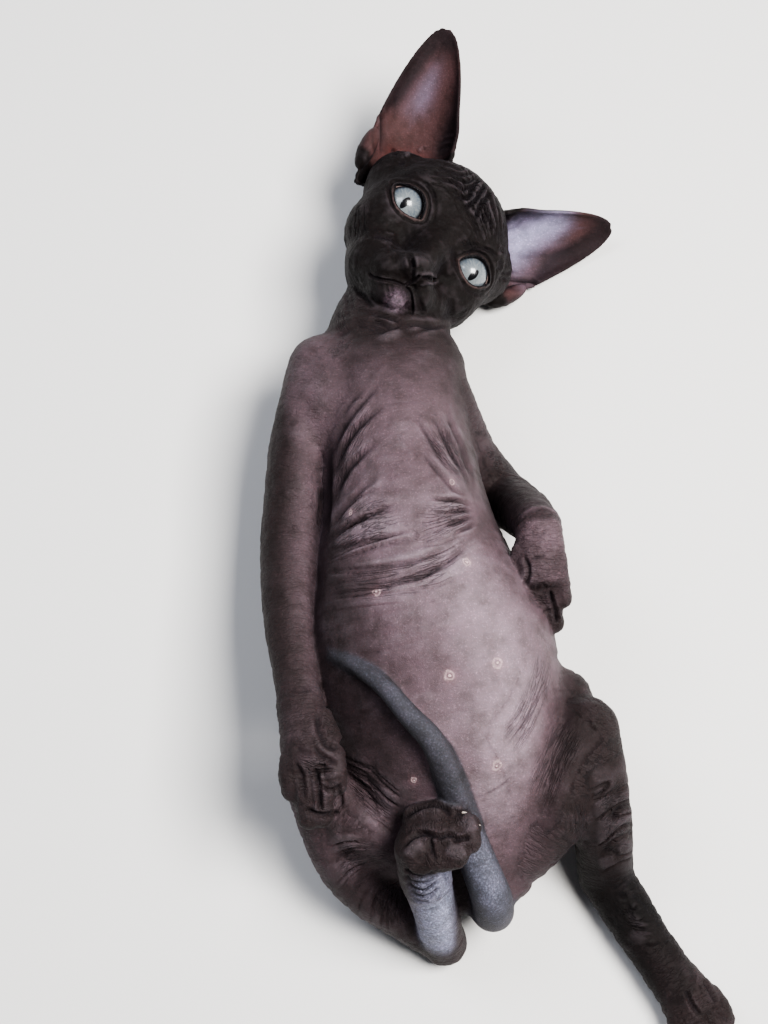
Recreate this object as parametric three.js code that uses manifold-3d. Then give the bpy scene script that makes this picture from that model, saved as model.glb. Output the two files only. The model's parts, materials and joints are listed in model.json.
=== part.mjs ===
// A life-size sphynx kitten, about twelve weeks old, lying on its back with its face turned up, its
// right foreleg stretched along its flank and its tail laid over its belly. Millimetres, +Z up, the
// floor at z = 0. The head points to +Y and the belly to +Z, so the kitten's right is towards -X.
import * as THREE from "three";
import { mergeVertices } from "three/addons/utils/BufferGeometryUtils.js";
import Module from "manifold-3d";

const wasm = await Module();
wasm.setup();

// Driving dimensions
const gap = 0.32; // left between parts that touch
const originShift = [-38.19, -3.83, 0]; // from the places below to the middle of the whole model
const eyeRadius = 9.2;
const lidThickness = 1.1;
const earThickness = 1.5;
const dewclawShare = 0.7; // of its radius to the other toes'
const outerToeReach = 0.6; // of an outer toe, as a share of a middle toe's
const nippleRadius = 1.5;
const weldDistance = 1e-3;

// Geometry helpers
const vec = (p) => new THREE.Vector3(...p);
const rad = THREE.MathUtils.degToRad;
const mix = THREE.MathUtils.lerp;
const ramp = THREE.MathUtils.smoothstep;

// A closed three.js geometry without its seams, as shared vertices and triangles.
function welded(geometry) {
  const bare = geometry.clone();
  bare.deleteAttribute("normal");
  bare.deleteAttribute("uv");
  return mergeVertices(bare, weldDistance);
}

// The same geometry with every vertex moved to where a function sends it.
function reshaped(geometry, moved) {
  const shell = welded(geometry);
  const places = shell.getAttribute("position");
  for (let i = 0; i < places.count; i++) {
    places.setXYZ(i, ...moved(new THREE.Vector3().fromBufferAttribute(places, i), i).toArray());
  }
  shell.computeVertexNormals();
  return shell;
}

// The same shape with its skin moved outwards by a distance.
function grown(geometry, distance) {
  const shell = welded(geometry);
  shell.computeVertexNormals();
  const normals = shell.getAttribute("normal").clone();
  const outwards = new THREE.Vector3();
  return reshaped(shell, (p, i) => {
    return p.addScaledVector(outwards.fromBufferAttribute(normals, i), distance);
  });
}

// A geometry as a solid that can be joined and cut, turned right side out.
function solidOf(geometry) {
  const shell = welded(geometry);
  const triVerts = new Uint32Array(shell.index.array);
  const vertProperties = shell.getAttribute("position").array;
  const make = () => new wasm.Manifold(new wasm.Mesh({ numProp: 3, vertProperties, triVerts }));
  const first = make();
  if (first.volume() > 0) return first;
  triVerts.reverse();
  return make();
}

const joined = (solids) => solids.reduce((a, b) => a.add(b));
const without = (solid, others) => others.reduce((rest, other) => rest.subtract(other), solid);
const largest = (solid) => solid.decompose().sort((a, b) => b.volume() - a.volume())[0];

const ellipsoid = (at, radii, around, rows) =>
  reshaped(new THREE.SphereGeometry(1, around, rows), (p) => p.multiply(vec(radii)).add(vec(at)));

// A body part carried along a smooth line through named stations. Each station has its place and
// the part's half-widths there: to the side, and to the front and the back across it. Each end is
// rounded over beyond its last station, by a share of the part's width.
function limb(stations, sideways, { around = 12, rows = 10, ends = [1, 1], capRows = 2 } = {}) {
  const list = Object.values(stations);
  const line = new THREE.CatmullRomCurve3(list.map((s) => vec(s.at)), false, "catmullrom", 0.5);
  const sizes = list.map((s) => vec([s.side, s.front ?? s.side, s.back ?? s.front ?? s.side]));
  const widths = new THREE.CatmullRomCurve3(sizes, false, "catmullrom", 0.5);
  const reference = vec(sideways);
  const capShare = capRows / rows;
  return reshaped(new THREE.SphereGeometry(1, around, rows), (p) => {
    const row = Math.acos(THREE.MathUtils.clamp(p.y, -1, 1)) / Math.PI;
    const angle = Math.atan2(p.z, p.x);
    const t = THREE.MathUtils.clamp((row - capShare) / (1 - 2 * capShare), 0, 1);
    const past = Math.max(capShare - row, row - 1 + capShare, 0) / capShare;
    const turn = (past * Math.PI) / 2;
    const forward = line.getTangent(t);
    const side = reference.clone().addScaledVector(forward, -reference.dot(forward)).normalize();
    const up = forward.clone().cross(side);
    const size = widths.getPoint(t);
    const depth = Math.sin(angle) > 0 ? size.y : size.z;
    const reach = (t < 0.5 ? -ends[0] : ends[1]) * Math.min(size.x, size.y) * Math.sin(turn);
    return line
      .getPoint(t)
      .addScaledVector(forward, reach)
      .addScaledVector(side, Math.cos(turn) * size.x * Math.cos(angle))
      .addScaledVector(up, Math.cos(turn) * depth * Math.sin(angle));
  });
}

// The model: a group of named meshes, one to a body part
const root = new THREE.Group();
root.position.set(...originShift);

const skin = (color, roughness) => new THREE.MeshStandardMaterial({ color, roughness, metalness: 0 });
const materials = {
  body: skin(0x4a4143, 0.62),
  belly: skin(0x6a5c60, 0.58),
  limbs: skin(0x393233, 0.66),
  head: skin(0x352f2f, 0.66),
  ears: skin(0x5c4242, 0.6),
  eyes: skin(0x93a3a6, 0.08),
};

function addMesh(name, solid, material) {
  const { vertProperties, triVerts } = largest(solid.trimByPlane([0, 0, 1], 0)).getMesh();
  const geometry = new THREE.BufferGeometry()
    .setAttribute("position", new THREE.BufferAttribute(vertProperties, 3))
    .setIndex(new THREE.BufferAttribute(triVerts, 1));
  const mesh = new THREE.Mesh(geometry, material);
  mesh.name = name;
  root.add(mesh);
}

// Every part gives way to the parts placed before it, with the gap between them.
const rooms = [];

function placePieces(name, pieces, material) {
  addMesh(name, without(joined(pieces.map(solidOf)), rooms), material);
  rooms.push(joined(pieces.map((piece) => solidOf(grown(piece, gap)))));
}

// Torso: one long barrel from the neck to the rump, lying on the flat of its back
const torso = {
  neckEnd: { at: [1, 68, 38], side: 23.5, front: 19, back: 24 },
  shoulders: { at: [2.5, 54, 38], side: 27.8, front: 26, back: 36 },
  chest: { at: [4, 30, 38], side: 27.5, front: 32, back: 39.2 },
  ribs: { at: [7.5, 3, 38], side: 29.5, front: 36, back: 39.2 },
  ribsEnd: { at: [10.5, -21, 38], side: 35, front: 39, back: 39.2 },
  middle: { at: [16, -50, 38], side: 43, front: 42, back: 39.2 },
  loins: { at: [24, -84, 35], side: 40, front: 37, back: 36 },
  pelvis: { at: [30, -113, 26], side: 29, front: 22, back: 26 },
  rump: { at: [34, -130, 20], side: 18, front: 14, back: 18 },
};
const partings = { ribs: { y: -9, slant: 0.06 }, groin: { y: -94, slant: 0.1 } };

// Nipples in four pairs and the navel, each a low stud on the belly
const studs = {
  chestLeft: [23.5, 1.5],
  chestRight: [-10, -4],
  bellyLeft: [27.5, -28.5],
  bellyRight: [-2.5, -39.5],
  navel: [21, -67],
  middleLeft: [37.5, -62.5],
  middleRight: [-3, -70],
  groinLeft: [37, -92],
  groinRight: [10.5, -99],
};

const torsoShell = limb(torso, [1, 0, 0], { around: 24, rows: 24, ends: [0.6, 0.6], capRows: 3 });
const torsoSkin = new THREE.Mesh(torsoShell, new THREE.MeshBasicMaterial({ side: THREE.DoubleSide }));
const studSolids = Object.values(studs).map(([x, y]) => {
  const fromAbove = new THREE.Raycaster(vec([x, y, 200]), vec([0, 0, -1]));
  const at = fromAbove.intersectObject(torsoSkin)[0].point.toArray();
  return solidOf(ellipsoid(at, [nippleRadius, nippleRadius, 0.9], 6, 4));
});
const torsoSolid = joined([solidOf(torsoShell), ...studSolids]);

// What lies on the neck's side of a parting, or on the tail's side, half a gap away from it.
const aheadOf = (solid, { y, slant }) => solid.trimByPlane([-slant, 1, 0], y + gap / 2);
const behind = (solid, { y, slant }) => solid.trimByPlane([slant, -1, 0], -y + gap / 2);

addMesh("chest", aheadOf(torsoSolid, partings.ribs), materials.body);
addMesh("belly", aheadOf(behind(torsoSolid, partings.ribs), partings.groin), materials.belly);
addMesh("hips", behind(torsoSolid, partings.groin), materials.body);
rooms.push(joined([solidOf(grown(torsoShell, gap)), ...studSolids]));

// Head, in a frame of its own: l to the kitten's left, u to its crown and f the way it faces,
// measured from the point between its pupils
const head = {
  between: [21.6, 104.7, 50.2], // the point between the pupils
  lean: 18, // of the face from straight up, towards the feet
  tilt: 45, // of the crown over to the kitten's left
  turn: 12, // of the nose to the kitten's left
  nod: 10, // of the nose upwards
};
const headFrame = new THREE.Matrix4()
  .makeTranslation(...head.between)
  .multiply(new THREE.Matrix4().makeRotationX(rad(head.lean)))
  .multiply(new THREE.Matrix4().makeRotationZ(-rad(head.tilt)))
  .multiply(new THREE.Matrix4().makeRotationY(rad(head.turn)))
  .multiply(new THREE.Matrix4().makeRotationX(-rad(head.nod)));
const inHead = (geometry) => geometry.clone().applyMatrix4(headFrame);
const mirrored = ([l, u, f]) => [-l, u, f];
const pair = (form) => [form, { ...form, at: mirrored(form.at) }];

// The skull and its flesh, as ellipsoids blended into one surface.
const headForms = [
  { at: [0, 5, -24.5], radii: [30.5, 30, 28] }, // cranium
  ...pair({ at: [17.5, -10, -15], radii: [13, 15, 15.5] }), // cheeks
  ...pair({ at: [13.5, -23, -4], radii: [8.5, 9.5, 11] }), // flesh beside the mouth
  ...pair({ at: [14, 0, -13], radii: [15, 14, 11.5] }), // rims of the eye sockets
  ...pair({ at: [13, 11, -9], radii: [12, 7, 8] }), // brows
  ...pair({ at: [26, 11, -27], radii: [9.5, 12, 11] }), // roots of the ears
  { at: [0, -6, -2], radii: [8, 13, 10] }, // bridge of the nose
  { at: [0, -13, 4.5], radii: [5.4, 8.5, 8.8] }, // the same, towards the tip
  ...pair({ at: [6.6, -25.5, 5.5], radii: [7.8, 7.2, 9.8] }), // whisker pads
  { at: [0, -19, 13], radii: [4.4, 3.6, 5.2] }, // nose leather
  ...pair({ at: [3.2, -20.4, 12.6], radii: [2.6, 2.4, 4.6] }), // wings of the nostrils
  { at: [0, -33, 4.5], radii: [7.6, 4.8, 8.8] }, // chin
  { at: [0, -26, -12], radii: [19, 11, 19] }, // jaw
];
const headBlend = 8;
const headCentre = [0, -5, -16];
const muzzleDip = 33; // of the muzzle below straight ahead, seen from that centre

function ellipsoidDistance(p, { at, radii }) {
  const q = p.map((x, i) => x - at[i]);
  const k0 = Math.hypot(...q.map((x, i) => x / radii[i]));
  const k1 = Math.hypot(...q.map((x, i) => x / radii[i] ** 2));
  return k1 ? (k0 * (k0 - 1)) / k1 : -Math.min(...radii);
}

// The distance to the nearest form, rounded off where two forms meet.
function headDistance(p) {
  return headForms
    .map((form) => ellipsoidDistance(p, form))
    .reduce((a, b) => {
      const h = Math.max(headBlend - Math.abs(a - b), 0) / headBlend;
      return Math.min(a, b) - (h * h * headBlend) / 4;
    });
}

// The head's surface in a direction from its centre, reached from outside by repeated steps.
function headSurface(direction) {
  const start = 80;
  const steps = 40;
  const stepShare = 0.8;
  const at = (reach) => headCentre.map((c, k) => c + direction[k] * reach);
  let reach = start;
  for (let i = 0; i < steps; i++) {
    reach -= headDistance(at(reach)) * stepShare;
  }
  return vec(at(reach));
}

// The place on the head's surface in line with a point and the head's centre.
const onHead = (at) => headSurface(vec(at).sub(vec(headCentre)).normalize().toArray()).toArray();

const headGrid = new THREE.SphereGeometry(1, 34, 26).rotateX(Math.PI / 2 + rad(muzzleDip));
const headShell = reshaped(headGrid, (p) => headSurface(p.normalize().toArray()));

// Eyes: balls behind almond openings, in lids of one thickness
const eye = {
  at: [17, 0, -8.9],
  outwards: 10, // of the gaze, to the side
  halfLength: 8.1,
  upperRise: 5.2,
  lowerRise: 4.9,
  lift: 0.8, // of the opening above the pupil
  slant: 15, // of the opening's outer corner, upwards
  openingDepth: 20,
};

// The opening between the lids: two arcs from corner to corner.
function almond() {
  const { halfLength, upperRise, lowerRise, lift } = eye;
  const outline = new THREE.Shape();
  outline.moveTo(-halfLength, lift);
  outline.quadraticCurveTo(-halfLength * 0.1, lift + upperRise * 2, halfLength, lift);
  outline.quadraticCurveTo(halfLength * 0.1, lift - lowerRise * 2, -halfLength, lift);
  return outline;
}

function eyeSolids(sign) {
  const frame = new THREE.Matrix4()
    .makeTranslation(sign * eye.at[0], eye.at[1], eye.at[2])
    .multiply(new THREE.Matrix4().makeRotationY(sign * rad(eye.outwards)));
  const extrusion = { depth: eye.openingDepth, bevelEnabled: false, curveSegments: 7 };
  const opening = new THREE.ExtrudeGeometry(almond(), extrusion).rotateZ(rad(eye.slant));
  const ball = (radius) => new THREE.SphereGeometry(radius, 16, 10).rotateX(Math.PI / 2);
  const shapes = {
    opening: sign > 0 ? opening : opening.scale(-1, 1, 1),
    ball: ball(eyeRadius),
    socket: ball(eyeRadius + gap),
    lids: ball(eyeRadius + gap + lidThickness),
  };
  const placed = Object.entries(shapes).map(([name, shape]) => {
    return [name, solidOf(inHead(shape.applyMatrix4(frame)))];
  });
  return Object.fromEntries(placed);
}
const eyes = { right: eyeSolids(-1), left: eyeSolids(1) };

// The mouth: a groove from the nose down to the lips' meeting, then out and back to each corner.
const mouth = {
  philtrum: [0, -22.2, 18.6],
  meeting: [0, -27.6, 14.2],
  lip: [4.2, -29.4, 14],
  side: [8.4, -31.6, 11.6],
  corner: [12, -31.4, 6.4],
};
const grooveRadius = 0.7;

function groove(points) {
  const stations = points.map((at) => ({ at: onHead(at), side: grooveRadius }));
  return solidOf(inHead(limb(stations, [0, 0.3, 1], { around: 5, rows: 9, capRows: 2 })));
}
const lips = [mouth.meeting, mouth.lip, mouth.side, mouth.corner];
const mouthCuts = [[mouth.philtrum, mouth.meeting], lips, lips.map(mirrored)].map(groove);

const nostril = { at: [3.8, -20.6, 18.6], radii: [1.6, 1, 1.8] };
const nostrilCuts = [nostril.at, mirrored(nostril.at)].map((at) =>
  solidOf(inHead(ellipsoid(onHead(at), nostril.radii, 7, 5))),
);

const sockets = Object.values(eyes).flatMap(({ socket, opening }) => [socket, opening]);
const lids = Object.values(eyes).map((parts) => parts.lids);
const headSolid = joined([solidOf(inHead(headShell)), ...lids]);
const headCuts = [...sockets, ...mouthCuts, ...nostrilCuts];
addMesh("head", without(headSolid, [...headCuts, ...rooms]), materials.head);
addMesh("eye_right", eyes.right.ball, materials.eyes);
addMesh("eye_left", eyes.left.ball, materials.eyes);
rooms.push(solidOf(inHead(grown(headShell, gap))));

// Neck: from the head's base into the front of the chest
const neck = {
  skull: { at: [5, 90, 30], side: 19.5, front: 12, back: 19 },
  middle: { at: [3.2, 78, 35], side: 22, front: 17, back: 24 },
  chestEnd: { at: [1, 64, 38], side: 24, front: 20, back: 28 },
};
placePieces("neck", [limb(neck, [1, 0, 0], { around: 16, rows: 9 })], materials.body);

// Ears: a sheet bent round a cup, wide at the base and pointed at the tip, with the small pocket
// of skin at the foot of its outer edge. Places are in the head's frame.
const ears = {
  right: { base: [-27.7, 19.5, -26], tip: [-52.2, 68.3, -25] },
  left: { base: [25, 20.5, -26], tip: [50, 64.5, -27] },
};
const ear = {
  halfWidth: 18,
  depth: 13,
  tipDepth: 1.5,
  tipRoundness: 2.6,
  taper: 0.35,
  baseSide: [0.6, -0.74, -0.33], // across the opening at its base, away from the crown
  upperSide: [0.8, -0.3, -0.5], // the same near the tip
  sunk: 0.12, // the share of its height that runs on into the head
  end: 0.985, // where the sheet stops short of its own point
  pocketHeight: 0.12,
  pocketRadii: [3.4, 9, 4.6],
};

// A place on the ear: across it from -1 to 1, up it from 0 to 1, and in from its outer face.
function earPoint(side, across, up, inset) {
  const sign = side === "left" ? 1 : -1;
  const { base, tip } = ears[side];
  const axis = vec(tip).sub(vec(base));
  const outwards = ([l, u, f]) => vec([sign * l, u, f]);
  const sideways = outwards(ear.baseSide).lerp(outwards(ear.upperSide), ramp(up, 0, 0.5)).normalize();
  const back = sideways.clone().cross(axis).multiplyScalar(-sign).normalize();
  const height = Math.max(up, 0);
  const narrowing = Math.sqrt(1 - height ** ear.tipRoundness) * (1 - ear.taper * height);
  const depth = ear.depth * (1 - up) ** 0.8 + ear.tipDepth * narrowing;
  const turn = (across * Math.PI) / 2;
  return vec(base)
    .addScaledVector(axis, up)
    .addScaledVector(sideways, ear.halfWidth * narrowing * Math.sin(turn))
    .addScaledVector(back, (depth - inset) * Math.cos(turn));
}

for (const side of ["right", "left"]) {
  const sign = side === "left" ? 1 : -1;
  const sheet = reshaped(new THREE.BoxGeometry(1, 1, 1, 10, 8, 1), (p) => {
    const up = mix(-ear.sunk, ear.end, p.y + 0.5);
    return earPoint(side, p.x * 1.96, up, (0.5 - p.z) * earThickness);
  });
  const pocket = ellipsoid([0, 0, 0], ear.pocketRadii, 8, 6)
    .rotateZ(sign * rad(-20))
    .translate(...earPoint(side, 1, ear.pocketHeight, earThickness / 2).toArray());
  placePieces("ear_" + side, [inHead(sheet), inHead(pocket)], materials.ears);
}

// A paw: its palm, four toes side by side with the middle two the longest, its main pad and, on a
// foreleg, the dewclaw's toe.
function pawPieces({ wrist, knuckles, tips, across, palm, width, toeRadius, pad, dewclaw }) {
  const palmMiddle = vec(wrist).lerp(vec(knuckles), 0.6).toArray();
  const stations = {
    wrist: { at: wrist, side: palm[0], front: palm[1] },
    middle: { at: palmMiddle, side: palm[0] * 1.15, front: palm[1] },
    knuckles: { at: knuckles, side: width * 0.46, front: palm[1] * 0.9 },
  };
  const pieces = [limb(stations, across, { around: 10, rows: 7, ends: [0.8, 0.6] })];
  for (const place of [-1.5, -0.5, 0.5, 1.5]) {
    const spread = vec(across).normalize().multiplyScalar((place * width) / 4);
    const start = vec(knuckles).lerp(vec(tips), -0.1).addScaledVector(spread, 0.86);
    const end = vec(tips).addScaledVector(spread, 0.76);
    if (Math.abs(place) > 1) end.lerp(start, 1 - outerToeReach);
    const toe = {
      start: { at: start.toArray(), side: toeRadius * 0.8 },
      middle: { at: start.clone().lerp(end, 0.55).toArray(), side: toeRadius },
      end: { at: end.toArray(), side: toeRadius * 0.85 },
    };
    pieces.push(limb(toe, across, { around: 7, rows: 6 }));
  }
  if (pad) pieces.push(ellipsoid(pad.at, pad.radii, 8, 6));
  if (dewclaw) {
    const toe = dewclaw.map((at) => ({ at, side: toeRadius * dewclawShare }));
    pieces.push(limb(toe, across, { around: 6, rows: 5 }));
  }
  return pieces;
}

// Hind legs: the left splayed with its foot stretched out, the right folded with its foot upright
const hindLegs = {
  left: {
    sideways: [0.7, 0.6, 0.3],
    thigh: {
      hip: { at: [45, -112, 25], side: 17, front: 15, back: 18 },
      middle: { at: [58, -97, 36], side: 15, front: 16, back: 18 },
      knee: { at: [68.5, -80, 44], side: 12, front: 12, back: 13 },
    },
    shin: {
      knee: { at: [68.5, -80, 44], side: 12 },
      calf: { at: [74.3, -105, 33], side: 10.5, front: 11 },
      hock: { at: [78.5, -125.5, 9.2], side: 9.4 },
    },
    foot: {
      hock: { at: [78.5, -125.5, 9.2], side: 9.4 },
      middle: { at: [92, -147.5, 8.6], side: 8.6, front: 8 },
      knuckles: { at: [103, -164.5, 8], side: 8.6, front: 7.6 },
    },
    paw: {
      wrist: [101, -160.5, 8],
      knuckles: [108, -171, 7.4],
      tips: [115, -182, 4.9],
      across: [0.83, 0.55, 0],
      palm: [8.6, 7.2],
      width: 23,
      toeRadius: 4.2,
      pad: { at: [109, -171.5, 3.6], radii: [7, 6, 4.2] },
    },
  },
  right: {
    sideways: [0.3, 0.9, 0.2],
    thigh: {
      hip: { at: [17, -118, 26], side: 16, front: 16, back: 18 },
      middle: { at: [-4, -108, 33], side: 16, front: 15, back: 18 },
      knee: { at: [-23, -95, 35], side: 12, front: 12.5, back: 13 },
    },
    shin: {
      knee: { at: [-23, -95, 34], side: 12 },
      calf: { at: [-10, -125, 25], side: 10.8 },
      hock: { at: [18, -145.5, 9.5], side: 8.4 },
    },
    foot: {
      hock: { at: [21, -148.5, 7.4], side: 7.6, front: 8 },
      middle: { at: [18, -140.5, 29], side: 7.8, front: 7.4 },
      ankle: { at: [14.5, -131, 46], side: 9, front: 7.8 },
    },
    paw: {
      wrist: [14, -130, 49],
      knuckles: [11, -118.5, 61],
      tips: [27, -117, 66.5],
      across: [0.05, 0.93, -0.2],
      palm: [9.6, 8.6],
      width: 24,
      toeRadius: 4.5,
      pad: { at: [17, -119, 59], radii: [5, 7, 4.5] },
    },
  },
};

// The skin between the flank and the splayed thigh
const flankWebs = { left: { at: [64, -70, 36], radii: [12, 14, 12] } };

for (const [side, { sideways, thigh, shin, foot, paw }] of Object.entries(hindLegs)) {
  const web = flankWebs[side] ? [ellipsoid(flankWebs[side].at, flankWebs[side].radii, 12, 8)] : [];
  placePieces("thigh_" + side, [limb(thigh, sideways), ...web], materials.body);
  placePieces("shin_" + side, [limb(shin, sideways)], materials.limbs);
  placePieces("foot_" + side, [limb(foot, paw.across), ...pawPieces(paw)], materials.limbs);
}

// Forelegs: the right stretched along the flank, the left held out with its paw hanging
const forelegs = {
  right: {
    upper: {
      shoulder: { at: [-22, 54, 41], side: 14, front: 15, back: 20 },
      middle: { at: [-30.5, 26, 41], side: 11, front: 14, back: 16 },
      elbow: { at: [-33, -10, 38], side: 11.6, front: 12.5, back: 14 },
    },
    lower: {
      elbow: { at: [-33, -10, 38], side: 11.6, front: 12.5, back: 14 },
      middle: { at: [-33, -38, 45], side: 9.6, front: 10 },
      wrist: { at: [-29, -69, 55], side: 7.4, front: 7 },
    },
    paw: {
      wrist: [-28.5, -72, 55.5],
      knuckles: [-23.5, -94, 61],
      tips: [-22.5, -110, 55.5],
      across: [0.97, 0.12, 0.2],
      palm: [8, 7.4],
      width: 23.5,
      toeRadius: 4.2,
      dewclaw: [
        [-20.5, -78, 60],
        [-17, -85, 62.5],
      ],
    },
  },
  left: {
    upper: {
      shoulder: { at: [20, 46, 40], side: 12, front: 15, back: 18 },
      middle: { at: [31.5, 28, 27], side: 10, front: 12, back: 13 },
      elbow: { at: [44.5, 16, 10.2], side: 10.5 },
    },
    lower: {
      elbow: { at: [44.5, 16, 10.2], side: 10.5 },
      middle: { at: [50.5, 1, 37], side: 9.5 },
      wrist: { at: [53.5, -11, 58], side: 8, front: 7.6 },
    },
    paw: {
      wrist: [53.5, -12.5, 60],
      knuckles: [54, -30, 58.5],
      tips: [57.5, -43, 47],
      across: [-0.94, -0.25, -0.25],
      palm: [8, 7],
      width: 19.5,
      toeRadius: 3.8,
      dewclaw: [
        [46.5, -20.5, 60],
        [45, -27.5, 57],
      ],
    },
  },
};

for (const [side, { upper, lower, paw }] of Object.entries(forelegs)) {
  placePieces("upper_arm_" + side, [limb(upper, [1, 0.2, 0])], materials.body);
  placePieces("forearm_" + side, [limb(lower, [1, 0.2, 0])], materials.limbs);
  placePieces("forepaw_" + side, pawPieces(paw), materials.limbs);
}

// Tail: out of the rump, round and up under the right foot, then over the belly towards the elbow
const tail = {
  root: { at: [33, -124, 20], side: 8.6 },
  start: { at: [35.7, -133.5, 17], side: 7.8 },
  turn: { at: [37, -138.5, 29], side: 7.2 },
  rise: { at: [35.3, -134.3, 43], side: 6.8 },
  groin: { at: [31, -125, 52], side: 6.2 },
  lowBelly: { at: [26, -112, 57.5], side: 5.5 },
  belly: { at: [21, -99, 68], side: 4.9 },
  navel: { at: [15.5, -89, 76.3], side: 4.4 },
  across: { at: [8, -81, 78.3], side: 3.9 },
  side: { at: [0, -71.5, 77], side: 3.4 },
  flank: { at: [-9, -63.5, 70.5], side: 3 },
  tip: { at: [-17, -57, 61], side: 2.7 },
};
const tailLengths = {
  tail_base: ["root", "groin"],
  tail_middle: ["groin", "across"],
  tail_tip: ["across", "tip"],
};
for (const [name, [from, to]] of Object.entries(tailLengths)) {
  const names = Object.keys(tail);
  const stations = names.slice(names.indexOf(from), names.indexOf(to) + 1).map((n) => tail[n]);
  placePieces(name, [limb(stations, [1, 0.3, 0], { around: 10, rows: 12 })], materials.limbs);
}

export default root;
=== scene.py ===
# A life-size sphynx kitten lying on its back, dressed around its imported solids.
# Shapes are worked out in millimetres in the solids' own places and moved to the frame at the end.
import json
import math

import bpy
import numpy as np
from mathutils import Matrix

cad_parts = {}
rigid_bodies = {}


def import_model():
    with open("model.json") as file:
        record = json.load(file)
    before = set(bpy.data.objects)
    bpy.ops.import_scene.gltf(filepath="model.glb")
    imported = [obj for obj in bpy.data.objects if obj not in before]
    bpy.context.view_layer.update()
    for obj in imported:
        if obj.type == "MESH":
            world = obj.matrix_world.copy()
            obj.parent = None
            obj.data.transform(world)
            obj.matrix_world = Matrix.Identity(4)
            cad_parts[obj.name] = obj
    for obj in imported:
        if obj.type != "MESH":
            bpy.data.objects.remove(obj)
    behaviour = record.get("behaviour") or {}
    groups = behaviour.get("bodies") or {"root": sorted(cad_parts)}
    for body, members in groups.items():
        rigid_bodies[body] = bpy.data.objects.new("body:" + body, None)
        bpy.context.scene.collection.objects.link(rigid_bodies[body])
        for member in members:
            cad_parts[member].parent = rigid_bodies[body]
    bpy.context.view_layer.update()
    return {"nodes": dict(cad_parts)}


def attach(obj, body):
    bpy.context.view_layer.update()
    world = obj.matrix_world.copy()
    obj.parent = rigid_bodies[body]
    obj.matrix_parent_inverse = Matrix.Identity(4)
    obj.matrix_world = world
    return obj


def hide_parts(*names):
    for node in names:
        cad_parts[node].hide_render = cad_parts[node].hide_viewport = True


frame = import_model()
print("kitten: frame loaded")

shift = np.array([-38.19, -3.83, 0.0])  # from the places below to the frame's origin

# ---- picture
picture = {
    "width": 768,
    "height": 1024,
    "elevation": 72.0,  # of the camera above the floor, on the feet's side
    "distance": 560.0,
    "aimHeight": 40.0,
    "pixel": 0.36,  # millimetres to a pixel where the camera aims
}
lensPixels = picture["distance"] / picture["pixel"]
sinE = math.sin(math.radians(picture["elevation"]))
cosE = math.cos(math.radians(picture["elevation"]))
towardsCamera = np.array([0.0, -cosE, sinE])


def seenAt(p):
    # where points fall in the picture, in its pixels from the top left
    z = p[:, 2] - picture["aimHeight"]
    depth = picture["distance"] + p[:, 1] * cosE - z * sinE
    x = picture["width"] / 2 + lensPixels * p[:, 0] / depth
    y = picture["height"] / 2 - lensPixels * (p[:, 1] * sinE + z * cosE) / depth
    return np.stack([x, y], 1)


# ---- tools
noiseTable = np.random.default_rng(11).random((32, 32, 32)) * 2 - 1


def softNoise(p, size, seed=0):
    # smooth random heights from -1 to 1, with bumps of about this size
    q = p / size + seed * 7.37
    cell = np.floor(q).astype(int)
    f = q - cell
    f = f * f * (3 - 2 * f)
    total = np.zeros(len(p))
    for corner in range(8):
        c = np.array([corner & 1, corner >> 1 & 1, corner >> 2 & 1])
        share = np.prod(np.where(c, f, 1 - f), axis=1)
        i = (cell + c) % 32
        total += share * noiseTable[i[:, 0], i[:, 1], i[:, 2]]
    return total


def smooth(low, high, x):
    # 0 up to low, 1 from high on, and a smooth step between; the other way round if low is the larger
    t = np.clip((x - low) / (high - low), 0, 1)
    return t * t * (3 - 2 * t)


def splineAt(points, t):
    # a smooth line through points, and its direction, at shares t of its stations
    ends = np.vstack([2 * points[0] - points[1], points, 2 * points[-1] - points[-2]])
    n = len(points) - 1
    s = np.clip(t * n, 0, n - 1e-9)
    i = s.astype(int)
    w = (s - i)[:, None]
    p0, p1, p2, p3 = (ends[i + k] for k in range(4))
    v0, v1 = (p2 - p0) / 2, (p3 - p1) / 2
    a, b = 2 * p1 - 2 * p2 + v0 + v1, 3 * p2 - 3 * p1 - 2 * v0 - v1
    return ((a * w + b) * w + v0) * w + p1, (3 * a * w + 2 * b) * w + v0


def unit(v):
    return v / np.maximum(np.linalg.norm(v, axis=-1, keepdims=True), 1e-12)


def gridFaces(rows, columns):
    # quads between neighbouring rows of a grid that closes round each row
    i = np.arange(rows - 1)[:, None] * columns
    j = np.arange(columns)[None, :]
    k = (j + 1) % columns
    return np.stack([i + j, i + k, i + k + columns, i + j + columns], -1).reshape(-1, 4)


def ballGrid(rows, around):
    # directions out of a ball's middle, row by row from pole to pole, and each row's angle
    row = np.linspace(0, math.pi, rows)[:, None]
    angle = np.linspace(0, 2 * math.pi, around, endpoint=False)[None, :]
    flat = np.cos(row) * np.ones_like(angle)
    return np.stack([np.sin(row) * np.cos(angle), np.sin(row) * np.sin(angle), flat], -1), row


forms = []  # (vertices, faces) of everything that the skin covers
parts = {}  # centre lines, by part, for the wrinkles that follow them


def frameAlong(stations, sideways, t):
    # the middle, forward, side and up directions and half-widths of an oval at shares t of a line
    at = np.array([s[0] for s in stations], float)
    size = np.array([s[1:] for s in stations], float)
    sideways = np.array(sideways, float)
    centre, forward = splineAt(at, t)
    forward = unit(forward)
    side = unit(sideways - forward * (forward @ sideways)[:, None])
    return centre, forward, side, np.cross(forward, side), splineAt(size, t)[0]


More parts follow.
